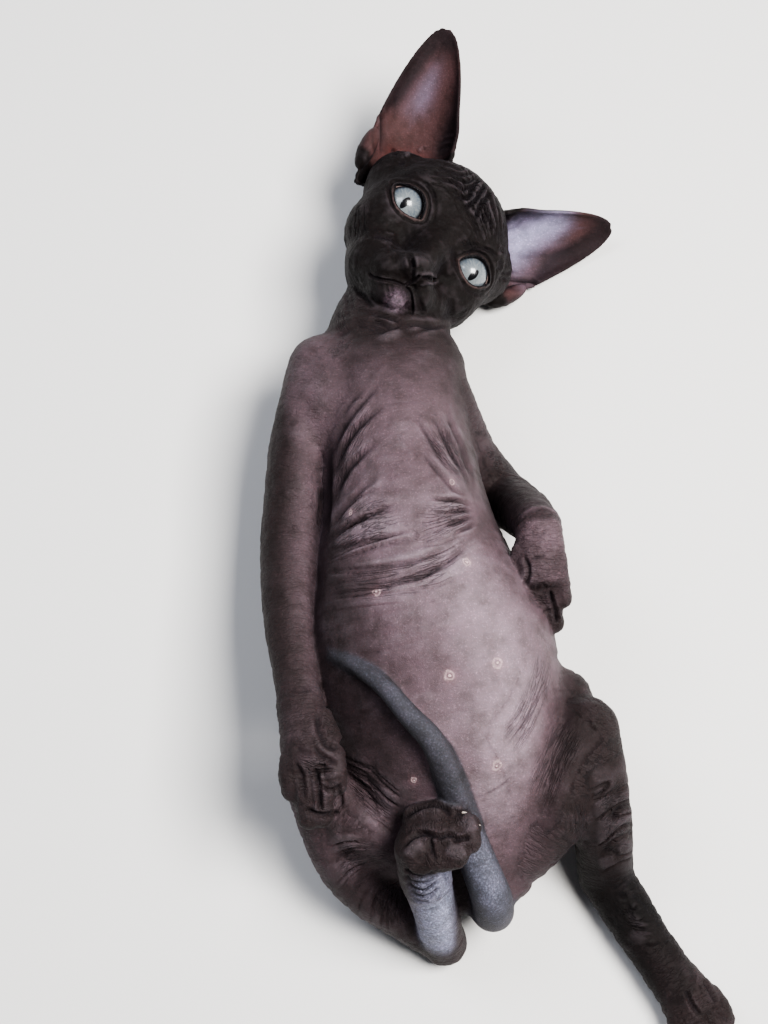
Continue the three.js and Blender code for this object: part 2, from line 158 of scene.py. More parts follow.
def carried(name, stations, sideways, around=72, along=120, ends=(1, 1), capRows=12, samples=40):
    # an oval with half-widths to the side, front and back, carried along a smooth line through
    # stations and closed by a rounded end past the first and the last of them
    t = np.concatenate([np.zeros(capRows), np.linspace(0, 1, along), np.ones(capRows)])
    rising = np.linspace(math.pi / 2, 0, capRows, endpoint=False)
    turn = np.concatenate([rising, np.zeros(along), np.linspace(0, math.pi / 2, capRows + 1)[1:]])
    centre, forward, side, up, size = frameAlong(stations, sideways, t)
    reach = np.where(t < 0.5, -ends[0], ends[1]) * np.minimum(size[:, 0], size[:, 1]) * np.sin(turn)
    centre = centre + forward * reach[:, None]
    angle = np.linspace(0, 2 * math.pi, around, endpoint=False)
    c, s = np.cos(angle)[None, :, None], np.sin(angle)[None, :, None]
    wide, front, back = (size[:, i, None, None] for i in range(3))
    narrow = np.cos(turn)[:, None, None]
    oval = side[:, None] * c * wide * narrow + up[:, None] * s * np.where(s > 0, front, back) * narrow
    forms.append(((centre[:, None] + oval).reshape(-1, 3), gridFaces(len(t), around)))
    centre, forward, side, up, size = frameAlong(stations, sideways, np.linspace(0, 1, samples))
    run = np.concatenate([[0], np.cumsum(np.linalg.norm(np.diff(centre, axis=0), axis=1))])
    parts[name] = dict(centre=centre, side=side, up=up, forward=forward, size=size, run=run)


def ball(at, radii, around=32, rows=20):
    # a ball stretched to three radii
    p = ballGrid(rows, around)[0].reshape(-1, 3)
    forms.append((p * np.array(radii) + np.array(at), gridFaces(rows, around)))


# ---- body
def station(at, side, front=None, back=None):
    front = side if front is None else front
    return (at, side, front, front if back is None else back)


torso = [
    station([1, 68, 38], 23.5, 19, 24),
    station([2.5, 54, 38], 27.8, 26, 36),
    station([4, 30, 38], 27.5, 32, 39.2),
    station([7.5, 3, 38], 29.5, 36, 39.2),
    station([10.5, -21, 38], 35, 39, 39.2),
    station([16, -50, 38], 43, 42, 39.2),
    station([24, -84, 35], 40, 37, 36),
    station([30, -113, 26], 29, 22, 26),
    station([34, -130, 20], 18, 14, 18),
]
carried("torso", torso, [1, 0, 0], around=160, along=220, ends=(0.6, 0.6), samples=200)
neck = [
    station([5, 90, 30], 19.5, 12, 19),
    station([3.2, 78, 35], 22, 17, 24),
    station([1, 64, 38], 24, 20, 28),
]
carried("neck", neck, [1, 0, 0])
webs = {  # skin stretched over the corners between limbs and trunk: middle and radii
    "shoulder": ([-14, 41, 43.5], [22, 25, 17.5]),
    "flank": ([62, -70, 36], [11.5, 13.5, 12]),
}
for at, radii in webs.values():
    ball(at, radii, around=64, rows=40)

legs = {  # the direction to the side, then stations down the leg
    "thighLeft": ([0.7, 0.6, 0.3], ([45, -112, 25], 17, 15, 18), ([58, -97, 36], 15, 16, 18),
        ([68.5, -80, 44], 12, 12, 13)),
    "shinLeft": ([0.7, 0.6, 0.3], ([68.5, -80, 44], 12), ([74.3, -105, 33], 10.5, 11),
        ([78.5, -125.5, 9.2], 9.4)),
    "footLeft": ([0.83, 0.55, 0], ([78.5, -125.5, 9.2], 9.4), ([92, -147.5, 8.6], 8.6, 8),
        ([103, -164.5, 8], 8.6, 7.6)),
    "thighRight": ([0.3, 0.9, 0.2], ([17, -118, 26], 16, 16, 18), ([-4, -108, 33], 16, 15, 18),
        ([-23, -95, 35], 12, 12.5, 13)),
    "shinRight": ([0.3, 0.9, 0.2], ([-23, -95, 34], 12), ([-10, -125, 25], 10.8),
        ([18, -145.5, 9.5], 8.4)),
    "footRight": ([0.05, 0.93, -0.2], ([21, -148.5, 7.4], 7.6, 8), ([18, -140.5, 29], 7.8, 7.4),
        ([14.5, -131, 46], 9, 7.8)),
    "upperArmRight": ([1, 0.2, 0], ([-22, 54, 41], 14, 15, 20), ([-30.5, 26, 41], 11, 14, 16),
        ([-33, -10, 38], 11.6, 12.5, 14)),
    "forearmRight": ([1, 0.2, 0], ([-33, -10, 38], 11.6, 12.5, 14), ([-33, -38, 45], 9.6, 10),
        ([-29, -69, 55], 7.4, 7)),
    "upperArmLeft": ([1, 0.2, 0], ([20, 46, 40], 12, 15, 18), ([31.5, 28, 27], 10, 12, 13),
        ([44.5, 16, 10.2], 10.5)),
    "forearmLeft": ([1, 0.2, 0], ([44.5, 16, 10.2], 10.5), ([50.5, 1, 37], 9.5),
        ([53.5, -11, 58], 8, 7.6)),
}
for name, (sideways, *stations) in legs.items():
    carried(name, [station(*s) for s in stations], sideways, along=90)

tail = [  # places along it, and its radius there
    ([33, -124, 20], 8.6), ([35.7, -133.5, 17], 7.8), ([37, -138.5, 29], 7.2), ([35.3, -134.3, 43], 6.8),
    ([31, -125, 52], 6.2), ([26, -112, 57.5], 5.4), ([21, -99, 68], 4.7), ([15.5, -89, 76.3], 4.2),
    ([8, -81, 78.3], 3.7), ([0, -71.5, 77], 3.2), ([-9, -63.5, 70.5], 2.8), ([-17, -57, 61], 2.5),
]
carried("tail", [station(*s) for s in tail], [1, 0.3, 0], along=260, samples=200)

# ---- paws
paws = {
    "footLeft": dict(
        wrist=[101, -160.5, 8], knuckles=[108, -171, 7.4], tips=[115, -182.5, 5],
        across=[0.83, 0.55, 0], palm=[8.6, 7.2], width=23, toe=4.3, outer=0.62,
        pad=([109, -171.5, 3.6], [7, 6, 4.2]),
    ),
    "footRight": dict(
        wrist=[14, -130, 49], knuckles=[11, -118.5, 61], tips=[27.5, -117, 66.5],
        across=[0.05, 0.93, -0.2], palm=[9.6, 8.6], width=24, toe=4.7, outer=0.8,
        pad=([17, -119, 59], [5, 7, 4.5]),
    ),
    "pawRight": dict(
        wrist=[-28.5, -72, 55.5], knuckles=[-23.5, -94, 61], tips=[-22.5, -110.5, 55],
        across=[0.97, 0.12, 0.2], palm=[8, 7.4], width=23.5, toe=4.4, outer=0.5,
        dewclaw=[[-20.5, -78, 60], [-17, -85, 62.5]], thumb=3.4,
    ),
    "pawLeft": dict(
        wrist=[53.5, -12.5, 60], knuckles=[54, -30, 58.5], tips=[57.5, -43.5, 46.5],
        across=[-0.94, -0.25, -0.25], palm=[8, 7], width=19.5, toe=3.9, outer=0.6,
        dewclaw=[[46.5, -20.5, 60], [45, -27.5, 57]], thumb=2.6,
    ),
}
toeEnds = {}  # where each claw grows, and which way
pawUps = {}  # out of the back of each paw


def makePaw(name, wrist, knuckles, tips, across, palm, width, toe, outer, pad=None, dewclaw=(), thumb=0):
    # a palm that widens from the wrist to the knuckles, four toes side by side from there to the tips,
    # the outer two shorter, and a pad below or a dewclaw beside
    wrist, knuckles, tips = (np.array(v, float) for v in (wrist, knuckles, tips))
    across = np.array(across, float)
    middle = wrist + (knuckles - wrist) * 0.6
    hand = [
        station(wrist, *palm), station(middle, palm[0] * 1.15, palm[1]),
        station(knuckles, width * 0.47, palm[1] * 0.9),
    ]
    carried(name + "Palm", hand, across, along=60, ends=(0.8, 0.6))
    toeEnds[name] = []
    pawUps[name] = unit(np.cross(unit(tips - knuckles), unit(across)))
    for number, place in enumerate((-1.5, -0.5, 0.5, 1.5), start=1):
        spread = unit(across) * place * width / 4
        start = knuckles + (tips - knuckles) * -0.1 + spread * 0.86
        end = tips + spread * 0.72
        if abs(place) > 1:
            end = start + (end - start) * outer
        bend = start + (end - start) * 0.5 + np.cross(unit(end - start), unit(across)) * 0.8
        knuckle = station(bend, toe, toe * 1.05)
        toeShape = [station(start, toe * 0.85), knuckle, station(end, toe * 0.9, toe * 0.8)]
        carried(name + "Toe" + str(number), toeShape, across, around=40, along=40)
        toeEnds[name].append((start, end, toe))
    if pad:
        ball(*pad)
    if dewclaw:
        a, b = (np.array(v, float) for v in dewclaw)
        carried(name + "Dewclaw", [station(a, thumb), station(b, thumb * 0.9)], across, around=32, along=20)
        toeEnds[name].append((a, b, thumb))


for name, shape in paws.items():
    makePaw(name, **shape)
print("kitten: body, legs, tail and paws laid out")

# ---- head, in its own frame: l to the kitten's left, u to its crown, f the way it faces
head = {"between": [21.6, 104.7, 50.2], "lean": 18, "tilt": 45, "turn": 12, "nod": 10}


def turned(axis, degrees):
    c, s = math.cos(math.radians(degrees)), math.sin(math.radians(degrees))
    i, j = [(1, 2), (2, 0), (0, 1)][axis]
    m = np.eye(3)
    m[i, i], m[j, j], m[i, j], m[j, i] = c, c, -s, s
    return m


headTurn = turned(0, head["lean"]) @ turned(2, -head["tilt"])
headTurn = headTurn @ turned(1, head["turn"]) @ turned(0, -head["nod"])
headAt = np.array(head["between"])


def fromHead(p):
    return np.asarray(p, float) @ headTurn.T + headAt


def toHead(p):
    return (p - headAt) @ headTurn


def pair(at, radii):
    return [(at, radii), ([-at[0], at[1], at[2]], radii)]


headForms = [
    ([0, 5, -24.5], [30.5, 30, 28]),  # cranium
    *pair([17.5, -10, -15], [13, 15, 15.5]),  # cheeks
    *pair([13.5, -23, -4], [8.5, 9.5, 11]),  # flesh beside the mouth
    *pair([14, 0, -13], [15, 14, 11.5]),  # rims of the eye sockets
    *pair([13, 11, -9], [12, 7, 8]),  # brows
    *pair([26, 11, -27], [9.5, 12, 11]),  # roots of the ears
    ([0, -6, -2], [8, 13, 10]),  # bridge of the nose
    ([0, -13, 4.5], [5.4, 8.5, 8.8]),
    *pair([6.6, -25.5, 5.5], [7.8, 7.2, 9.8]),  # whisker pads
    ([0, -19, 13], [4.4, 3.6, 5.2]),  # nose leather
    *pair([3.2, -20.4, 12.6], [2.6, 2.4, 4.6]),  # wings of the nostrils
    ([0, -33, 4.5], [7.6, 4.8, 8.8]),  # chin
    ([0, -26, -12], [19, 11, 19]),  # jaw
]
headCentre = np.array([0, -5.0, -16])
headBlend = 5.5


def headDistance(p):
    # the distance to the nearest of the head's ellipsoids, rounded off where two meet
    total = None
    for at, radii in headForms:
        q, r = p - np.array(at, float), np.array(radii, float)
        k0 = np.linalg.norm(q / r, axis=1)
        k1 = np.linalg.norm(q / r**2, axis=1)
        d = k0 * (k0 - 1) / np.maximum(k1, 1e-9)
        if total is None:
            total = d
            continue
        h = np.maximum(headBlend - np.abs(total - d), 0) / headBlend
        total = np.minimum(total, d) - h * h * headBlend / 4
    return total


def onHead(direction):
    # the head's surface in each direction from its centre, reached from outside by repeated steps
    reach = np.full(len(direction), 80.0)
    for _ in range(32):
        reach -= headDistance(headCentre + direction * reach[:, None]) * 0.85
    return headCentre + direction * reach[:, None]


def makeHead(rows=260, around=320, dip=33):
    # a ball's grid, its pole dipped to where the neck hides it, drawn in to the head's surface
    d = ballGrid(rows, around)[0].reshape(-1, 3) @ turned(0, dip).T
    forms.append((fromHead(onHead(d)), gridFaces(rows, around)))


makeHead()

# ---- eyes
eye = {
    "at": [17, 0, -8.9],
    "outwards": 10,
    "radius": 9.2,
    "halfLength": 8.1,
    "upperRise": 5.2,
    "lowerRise": 4.9,
    "lift": 0.8,
    "slant": 15,
    "lid": 1.2,  # thickness of the lids
    "gaze": (-0.25, -1.15),  # where the pupil sits off the middle
    "dome": 0.7,  # how far the clear front stands out, and out to what angle
    "domeAngle": 48,
}


def eyeFrame(sign):
    # an eye's middle and axes: out to its corner, up, and the way it looks
    return np.array(eye["at"], float) * (sign, 1, 1), turned(1, sign * eye["outwards"])


def almond(t, grow=0.0):
    # the opening between the lids: two arcs from the inner corner to the outer and back, t from 0 to 2
    a = eye["halfLength"] + grow
    upper, lower = eye["upperRise"] + grow, eye["lowerRise"] + grow
    w = np.where(t < 1, t, 2 - t)
    lean = 0.1 * np.where(t < 1, -1, 1)
    x = -a * (1 - w) ** 2 + 2 * w * (1 - w) * a * lean + a * w**2
    y = eye["lift"] + 2 * w * (1 - w) * np.where(t < 1, 2 * upper, -2 * lower)
    c, s = math.cos(math.radians(eye["slant"])), math.sin(math.radians(eye["slant"]))
    return np.stack([x * c - y * s, x * s + y * c], 1)


for sign in (-1, 1):
    at, axes = eyeFrame(sign)
    ball(fromHead(at), [eye["radius"] + eye["lid"]] * 3, around=64, rows=40)

# ---- ears
ear = {
    "right": ([-27.7, 19.5, -26], [-52.2, 68.3, -25]),
    "left": ([25, 20.5, -26], [50, 64.5, -27]),
    "halfWidth": 18,
    "depth": 13,
    "tipDepth": 1.5,
    "tipRoundness": 2.6,
    "taper": 0.35,
    "baseSide": [0.6, -0.74, -0.33],
    "upperSide": [0.8, -0.3, -0.5],
    "sunk": 0.12,
    "thickness": 1.6,
}


def earFrame(side, up):
    sign = 1 if side == "left" else -1
    base, tip = (np.array(v, float) for v in ear[side])
    axis = tip - base
    flip = np.array([sign, 1, 1])
    w = smooth(0, 0.5, up)[:, None]
    sideways = unit(np.array(ear["baseSide"]) * flip * (1 - w) + np.array(ear["upperSide"]) * flip * w)
    back = unit(np.cross(sideways, axis)) * -sign
    height = np.clip(up, 0, 1)
    narrowing = np.sqrt(np.maximum(1 - height ** ear["tipRoundness"], 0)) * (1 - ear["taper"] * height)
    depth = ear["depth"] * (1 - np.minimum(up, 1)) ** 0.8 + ear["tipDepth"] * narrowing
    return base, axis, sideways, back, narrowing, depth


def earPoint(side, across, up, inset):
    base, axis, sideways, back, narrowing, depth = earFrame(side, up)
    turn = across * math.pi / 2
    wide = ear["halfWidth"] * narrowing * np.sin(turn)
    deep = (depth - inset) * np.cos(turn)
    return base + axis * up[:, None] + sideways * wide[:, None] + back * deep[:, None]


def makeEar(side, columns=90, rows=120, rim=8):
    # a thin sheet bent round a cup: its middle surface moved half its thickness out and in, with
    # a round rim between the two
    sign = 1 if side == "left" else -1
    up, across = np.linspace(-ear["sunk"], 0.994, rows), np.linspace(-0.98, 0.98, columns)
    u, a = np.meshgrid(up, across, indexing="ij")
    middle = earPoint(side, a.ravel(), u.ravel(), 0.75).reshape(rows, columns, 3)
    rise, run = np.gradient(middle, axis=0), np.gradient(middle, axis=1)
    out = unit(np.cross(run, rise)) * sign
    along = unit(run)
    half = (ear["thickness"] * (1 - 0.3 * np.clip(up, 0, 1)) / 2)[:, None, None]
    swing = np.linspace(0, math.pi, rim + 2)[1:-1][None, :, None]
    right = middle[:, -1:] + half * (out[:, -1:] * np.cos(swing) + along[:, -1:] * np.sin(swing))
    left = middle[:, :1] - half * (out[:, :1] * np.cos(swing) + along[:, :1] * np.sin(swing))
    loop = np.concatenate([middle + out * half, right, (middle - out * half)[:, ::-1], left], axis=1)
    width = loop.shape[1]
    p = np.vstack([loop.reshape(-1, 3), loop[0].mean(0), loop[-1].mean(0)])
    j = np.arange(width)
    k = (j + 1) % width
    foot, top = np.full(width, rows * width), np.full(width, rows * width + 1)
    last = (rows - 1) * width
    caps = np.vstack([np.stack([k, j, foot, foot], 1), np.stack([j + last, k + last, top, top], 1)])
    forms.append((fromHead(p), np.vstack([gridFaces(rows, width), caps])))
    pocket = earPoint(side, np.array([1.0]), np.array([0.12]), np.array([0.75]))[0]
    ball([0, 0, 0], [3.4, 9, 4.6])
    v, f = forms.pop()
    forms.append((fromHead(v @ turned(2, -20 * sign).T + pocket), f))


makeEar("right")
makeEar("left")
print("kitten: head, lids and ears laid out")

# ---- one skin over everything
skinSettings = {
    "voxel": 0.6,  # size of the one skin's faces, in millimetres
    "triangles": 190000,  # at the end
    "fillet": 60,  # rounds that fill the corners between limbs and body
    "rounding": 6,  # rounds of smoothing everywhere
    "besideTail": 16,
    "ears": 24,
}


def placed(name, data):
    # an object for this data, put into the scene
    piece = bpy.data.objects.new(name, data)
    bpy.context.scene.collection.objects.link(piece)
    return piece


def meshObject(name, points, faces):
    mesh = bpy.data.meshes.new(name)
    mesh.from_pydata(((points + shift) / 1000).tolist(), [], faces)
    mesh.update()
    return placed(name, mesh)


def triangulated(faces):
    # quads as pairs of triangles, without the flat ones at a pole
    t = np.vstack([faces[:, [0, 1, 2]], faces[:, [0, 2, 3]]])
    return t[(t[:, 0] != t[:, 1]) & (t[:, 1] != t[:, 2]) & (t[:, 0] != t[:, 2])]


def joinedForms():
    starts = np.cumsum([0] + [len(v) for v, _ in forms])
    faces = [triangulated(f) + start for (_, f), start in zip(forms, starts)]
    return np.vstack([v for v, _ in forms]), np.vstack(faces).tolist()


def evaluated(piece):
    # the piece's modifiers, carried out on its mesh
    graph = bpy.context.evaluated_depsgraph_get()
    mesh = bpy.data.meshes.new_from_object(piece.evaluated_get(graph))
    piece.modifiers.clear()
    old, piece.data = piece.data, mesh
    bpy.data.meshes.remove(old)


def readOut(items, label, kind, width):
    values = np.empty(len(items) * width, kind)
    items.foreach_get(label, values)
    return values.reshape(-1, width)


def normalsOf(mesh):
    return readOut(mesh.vertices, "normal", np.float32, 3).astype(float)


def setVertices(mesh, p):
    mesh.vertices.foreach_set("co", ((p + shift) / 1000).astype(np.float32).ravel())
    mesh.update()


def shadeSmooth(mesh):
    mesh.polygons.foreach_set("use_smooth", np.ones(len(mesh.polygons), bool))


def addMark(mesh, name, values):
    # a number at each vertex, for the materials
    layer = mesh.attributes.new(name, "FLOAT", "POINT")
    layer.data.foreach_set("value", values.astype(np.float32))


def neighbourMean(p):
    # the mean over the vertices that share an edge with each one
    total = np.zeros_like(p)
    a, b = edges.T
    for axis in range(p.shape[1]):
        total[:, axis] = np.bincount(a, p[b, axis], len(p)) + np.bincount(b, p[a, axis], len(p))
    return total / counts[:, None]


skin = meshObject("skin", *joinedForms())
remesh = skin.modifiers.new("oneSkin", "REMESH")
remesh.mode = "VOXEL"
remesh.voxel_size = skinSettings["voxel"] / 1000
evaluated(skin)
print("kitten: one skin of", len(skin.data.polygons), "faces")


names = list(parts)
pawParts = [n for n in names if "Palm" in n or "Toe" in n or "Dewclaw" in n]


def nearestParts(p):
    # for each point and each part: how far it is from the part's surface, how far along the part
    # it is, in millimetres, and its angle round it
    found = {}
    for name, line in parts.items():
        gap, run, angle = np.empty(len(p)), np.empty(len(p)), np.empty(len(p))
        for start in range(0, len(p), 60000):
            q = p[start : start + 60000]
            d2 = (q**2).sum(1)[:, None] - 2 * q @ line["centre"].T + (line["centre"] ** 2).sum(1)[None]
            i = d2.argmin(1)
            off = q - line["centre"][i]
            ahead, a, b = ((off * line[way][i]).sum(1) for way in ("forward", "side", "up"))
            size = line["size"][i]
            deep = np.where(b > 0, size[:, 1], size[:, 2])
            past = (ahead / size[:, 0]) ** 2 * (np.abs(ahead) > 3)
            e = np.sqrt((a / size[:, 0]) ** 2 + (b / deep) ** 2 + past)
            part = slice(start, start + len(q))
            gap[part] = np.abs(e - 1) * np.minimum(size[:, 0], deep)
            run[part] = line["run"][i] + ahead
            angle[part] = np.arctan2(b / deep, a / size[:, 0])
        found[name] = (gap, run, angle)
    return found


def surveyed():
    # the skin as it is now: edges, vertices, how many edges meet at each, places in the head's frame,
    # distances to the head and to every part, and the number of the nearest part
    edges = readOut(skin.data.edges, "vertices", np.int32, 2)
    place = readOut(skin.data.vertices, "co", np.float32, 3).astype(float) * 1000 - shift
    counts = np.bincount(edges.ravel(), minlength=len(place)).astype(float)
    local = toHead(place)
    near = nearestParts(place)
    gaps = np.stack([near[n][0] for n in names], 1)
    return edges, place, counts, local, np.abs(headDistance(local)), near, gaps, gaps.argmin(1)


def anyOf(*wanted):
    return np.isin(owner, [names.index(n) for n in wanted])


def spread(mask, rounds):
    # a yes or no at each vertex made a soft share
    mask = mask.astype(float)[:, None]
    for _ in range(rounds):
        mask = 0.5 * mask + 0.5 * neighbourMean(mask)
    return mask[:, 0]


# ---- smoothing: the joins between limbs and body are rounded over, the paws and face kept
edges, place, counts, local, headGap, near, gaps, owner = surveyed()
isHead = (headGap < gaps.min(1) + 1.0) & (local[:, 1] > -45)
isEar = (local[:, 1] > 12) & (np.abs(local[:, 0]) > 16) & (headGap > 1.2) & (place[:, 1] > 85)
palms = anyOf(*pawParts)
isTail = anyOf("tail") & (near["tail"][1] > 24)
looseParts = [names.index(n) for n in [*pawParts, "footRight", "forearmRight"]]
besideLoose = (gaps[:, looseParts].min(1) < 4) | ((near["tail"][0] < 4) & (near["tail"][1] > 30))
keep = spread(isHead | isEar | palms, 12)
fill = 1 - spread(palms | isTail | isEar | besideLoose | isHead, 12)
print("kitten: parts found")


def relaxed(p, rounds, share):
    # each vertex moved a share of the way to the mean of its neighbours
    for _ in range(rounds):
        p = p + (neighbourMean(p) - p) * share
    return p


def filled(p, rounds):
    # only hollows move, outwards, so that skin bridges the corner between a limb and the body
    for step in range(rounds):
        if step % 10 == 0:
            setVertices(skin.data, p)
            normal = normalsOf(skin.data)
        lift = ((neighbourMean(p) - p) * normal).sum(1)
        p = p + normal * (np.maximum(lift, 0) * fill)[:, None]
    return p


place = filled(place, skinSettings["fillet"])
place = relaxed(place, skinSettings["rounding"], (0.5 * (1 - 0.7 * keep))[:, None])
besideTail = spread((near["tail"][0] < 2) & (near["torso"][0] < 3) & (near["tail"][1] > 30), 3)
place = relaxed(place, skinSettings["besideTail"], (0.5 * besideTail)[:, None])
earKeep = spread(isEar, 6)[:, None]
for _ in range(skinSettings["ears"]):  # a push back after each step keeps the ears' thickness
    place = relaxed(place, 1, 0.5 * earKeep)
    place = relaxed(place, 1, -0.52 * earKeep)
setVertices(skin.data, place)
print("kitten: joins rounded")


# ---- finer faces where the face has its detail
def onFace(grow):
    # a box round the eyes, nose and mouth, this much larger on each side
    high = (local[:, 1] > -37 - grow) & (local[:, 1] < 29 + grow)
    return high & (local[:, 2] > -15 - grow) & (np.abs(local[:, 0]) < 31 + grow) & (headGap < 6)


local = toHead(place)
skin.data.vertices.foreach_set("select", np.zeros(len(place), bool))
skin.data.polygons.foreach_set("select", np.zeros(len(skin.data.polygons), bool))
skin.data.edges.foreach_set("select", onFace(1)[edges].all(1))
for other in bpy.context.scene.objects:
    other.select_set(other == skin)
bpy.context.view_layer.objects.active = skin
bpy.ops.object.mode_set(mode="EDIT")
bpy.ops.mesh.select_mode(type="EDGE")
bpy.ops.mesh.subdivide(number_cuts=1, smoothness=0)
bpy.ops.object.mode_set(mode="OBJECT")
edges, place, counts, local, headGap, near, gaps, owner = surveyed()
headShare = spread((headGap < gaps.min(1) + 2.0) & (local[:, 1] > -45), 4)
fineShare = spread(onFace(0), 3)
place = relaxed(place, 4, (0.5 * fineShare)[:, None])
setVertices(skin.data, place)
print("kitten: face made finer,", len(place), "vertices")

# ---- folds, laid out on the picture and carried onto the skin that faces the camera
markNames = "height dark pink lid rim fold foldAcross foldAlong foldRound ear earDark earMauve canal"
marks = {name: np.zeros(len(place)) for name in markNames.split()}  # what the colours follow


def lineIn(points, count):
    # a smooth line through points given as x and y by turns, in the picture's pixels
    t = np.linspace(0, 1, count)
    return splineAt(np.array(points, float).reshape(-1, 2), t)[0], t


def foldFamily(
    seen, count, depth, first, last, sharp=0.6, wobble=1.0, runs=1.6, fade=(0.12, 0.2), least=1.2, seed=0
):
    # creases between two guide lines, where a noise drawn out along them passes through nought:
    # v runs from one guide to the other and s along them
    (a, t), (b, _) = lineIn(first, 50), lineIn(last, 50)
    w = np.linspace(0, 1, 40)
    grid = a[:, None] * (1 - w)[None, :, None] + b[:, None] * w[None, :, None]
    flat = grid.reshape(-1, 2)
    low, high = flat.min(0) - 8, flat.max(0) + 8
    near = np.flatnonzero(((seen > low) & (seen < high)).all(1))
    height, share, fine, across, along = (np.zeros(len(seen)) for _ in range(5))
    alongS = np.gradient(grid, t, axis=0).reshape(-1, 2)
    acrossW = np.gradient(grid, w, axis=1).reshape(-1, 2)
    for start in range(0, len(near), 20000):
        pick = near[start : start + 20000]
        q = seen[pick]
        d2 = (q**2).sum(1)[:, None] - 2 * q @ flat.T + (flat**2).sum(1)[None]
        i = d2.argmin(1)
        off = q - flat[i]
        es, ew = alongS[i], acrossW[i]
        det = es[:, 0] * ew[:, 1] - es[:, 1] * ew[:, 0]
        det = np.where(np.abs(det) < 1e-3, 1e-3, det)
        ds = (off[:, 0] * ew[:, 1] - off[:, 1] * ew[:, 0]) / det
        dw = (es[:, 0] * off[:, 1] - es[:, 1] * off[:, 0]) / det
        s = t[i // len(w)] + np.clip(ds, -0.1, 0.1)
        v = w[i % len(w)] + np.clip(dw, -0.2, 0.2)
        far = np.sqrt(np.maximum(d2[np.arange(len(q)), i], 0))
        drift = np.column_stack([v * 2.2, s * 1.3, np.full(len(q), 1.7 * seed)])
        phase = v * count * 1.5 + wobble * softNoise(drift, 1.0, seed)
        wander = np.column_stack([phase, s * runs, np.full(len(q), 5.3 * seed)])
        n = softNoise(wander, 1.0, seed + 2) + 0.3 * softNoise(wander * [2.3, 1.6, 1], 1.0, seed + 3)
        place = np.column_stack([phase * 0.6, s * 2, np.full(len(q), 1.0 + seed)])
        uneven = 0.8 + 0.5 * softNoise(place, 1.0, 4)
        ends = smooth(-0.02, fade[0], s) * smooth(-0.02, fade[1], 1 - s)
        sides = smooth(-0.08, 0.1, v) * smooth(-0.08, 0.1, 1 - v)
        body = np.minimum(np.abs(n) / 0.3, 1) ** sharp
        room = np.abs(det) / np.maximum(np.linalg.norm(es, axis=1), 1e-6) * picture["pixel"] / (count * 1.5)
        share[pick] = ends * sides * smooth(7, 2, far)
        height[pick] = depth * uneven * share[pick] * (body - 0.72) * smooth(least, 2 * least, room)
        inside = smooth(0.05, 0.35, s) * smooth(0.05, 0.35, 1 - s)
        fine[pick] = inside * smooth(0.05, 0.3, v) * smooth(0.05, 0.3, 1 - v)
        across[pick] = phase * 1.7 + 40 * seed
        along[pick] = s * runs * 2
    return height, share, fine, across, along


def addFamily(seen, seed, family, part):
    # the strongest family at each place rules its fine wrinkles; they fade out where two meet
    *shape, more = family if isinstance(family[-1], dict) else (*family, {})
    fold, share, *fine = foldFamily(seen, *shape, seed=seed, **more)
    stronger = share > ruler
    ruler[stronger] = share[stronger]
    for label, values in zip(("fold", "foldAcross", "foldAlong"), fine):
        marks[label][stronger] = values[stronger]
    return fold * part


def foldLine(seen, points, width, depth, lip=0.3, fade=0.12, shadeStrength=0.8):
    # one crease along a line, with the skin raised a little beside it and painted shade in it; a negative
    # depth is a ridge
    line, t = lineIn(points, 80)
    low, high = line.min(0) - 14, line.max(0) + 14
    pick = np.flatnonzero(((seen > low) & (seen < high)).all(1))
    height = np.zeros(len(seen))
    q = seen[pick]
    d2 = ((q[:, None] - line[None]) ** 2).sum(2)
    i = d2.argmin(1)
    far = np.sqrt(d2[np.arange(len(q)), i]) * picture["pixel"] / width
    ends = smooth(-0.02, fade, t[i]) * smooth(-0.02, fade, 1 - t[i])
    height[pick] = depth * ends * (-np.exp(-(far**2)) + lip * np.exp(-((far - 2) ** 2)))
    if depth > 0:
        # painted shade: the dark mark darkens the skin along the crease
        dark = shadeStrength * np.minimum(depth, 1) * ends * np.exp(-((far / 1.1) ** 2))
        dark = dark * smooth(0, 0.3, facingShare[pick])
        marks["dark"][pick] = np.maximum(marks["dark"][pick], dark)
    return height


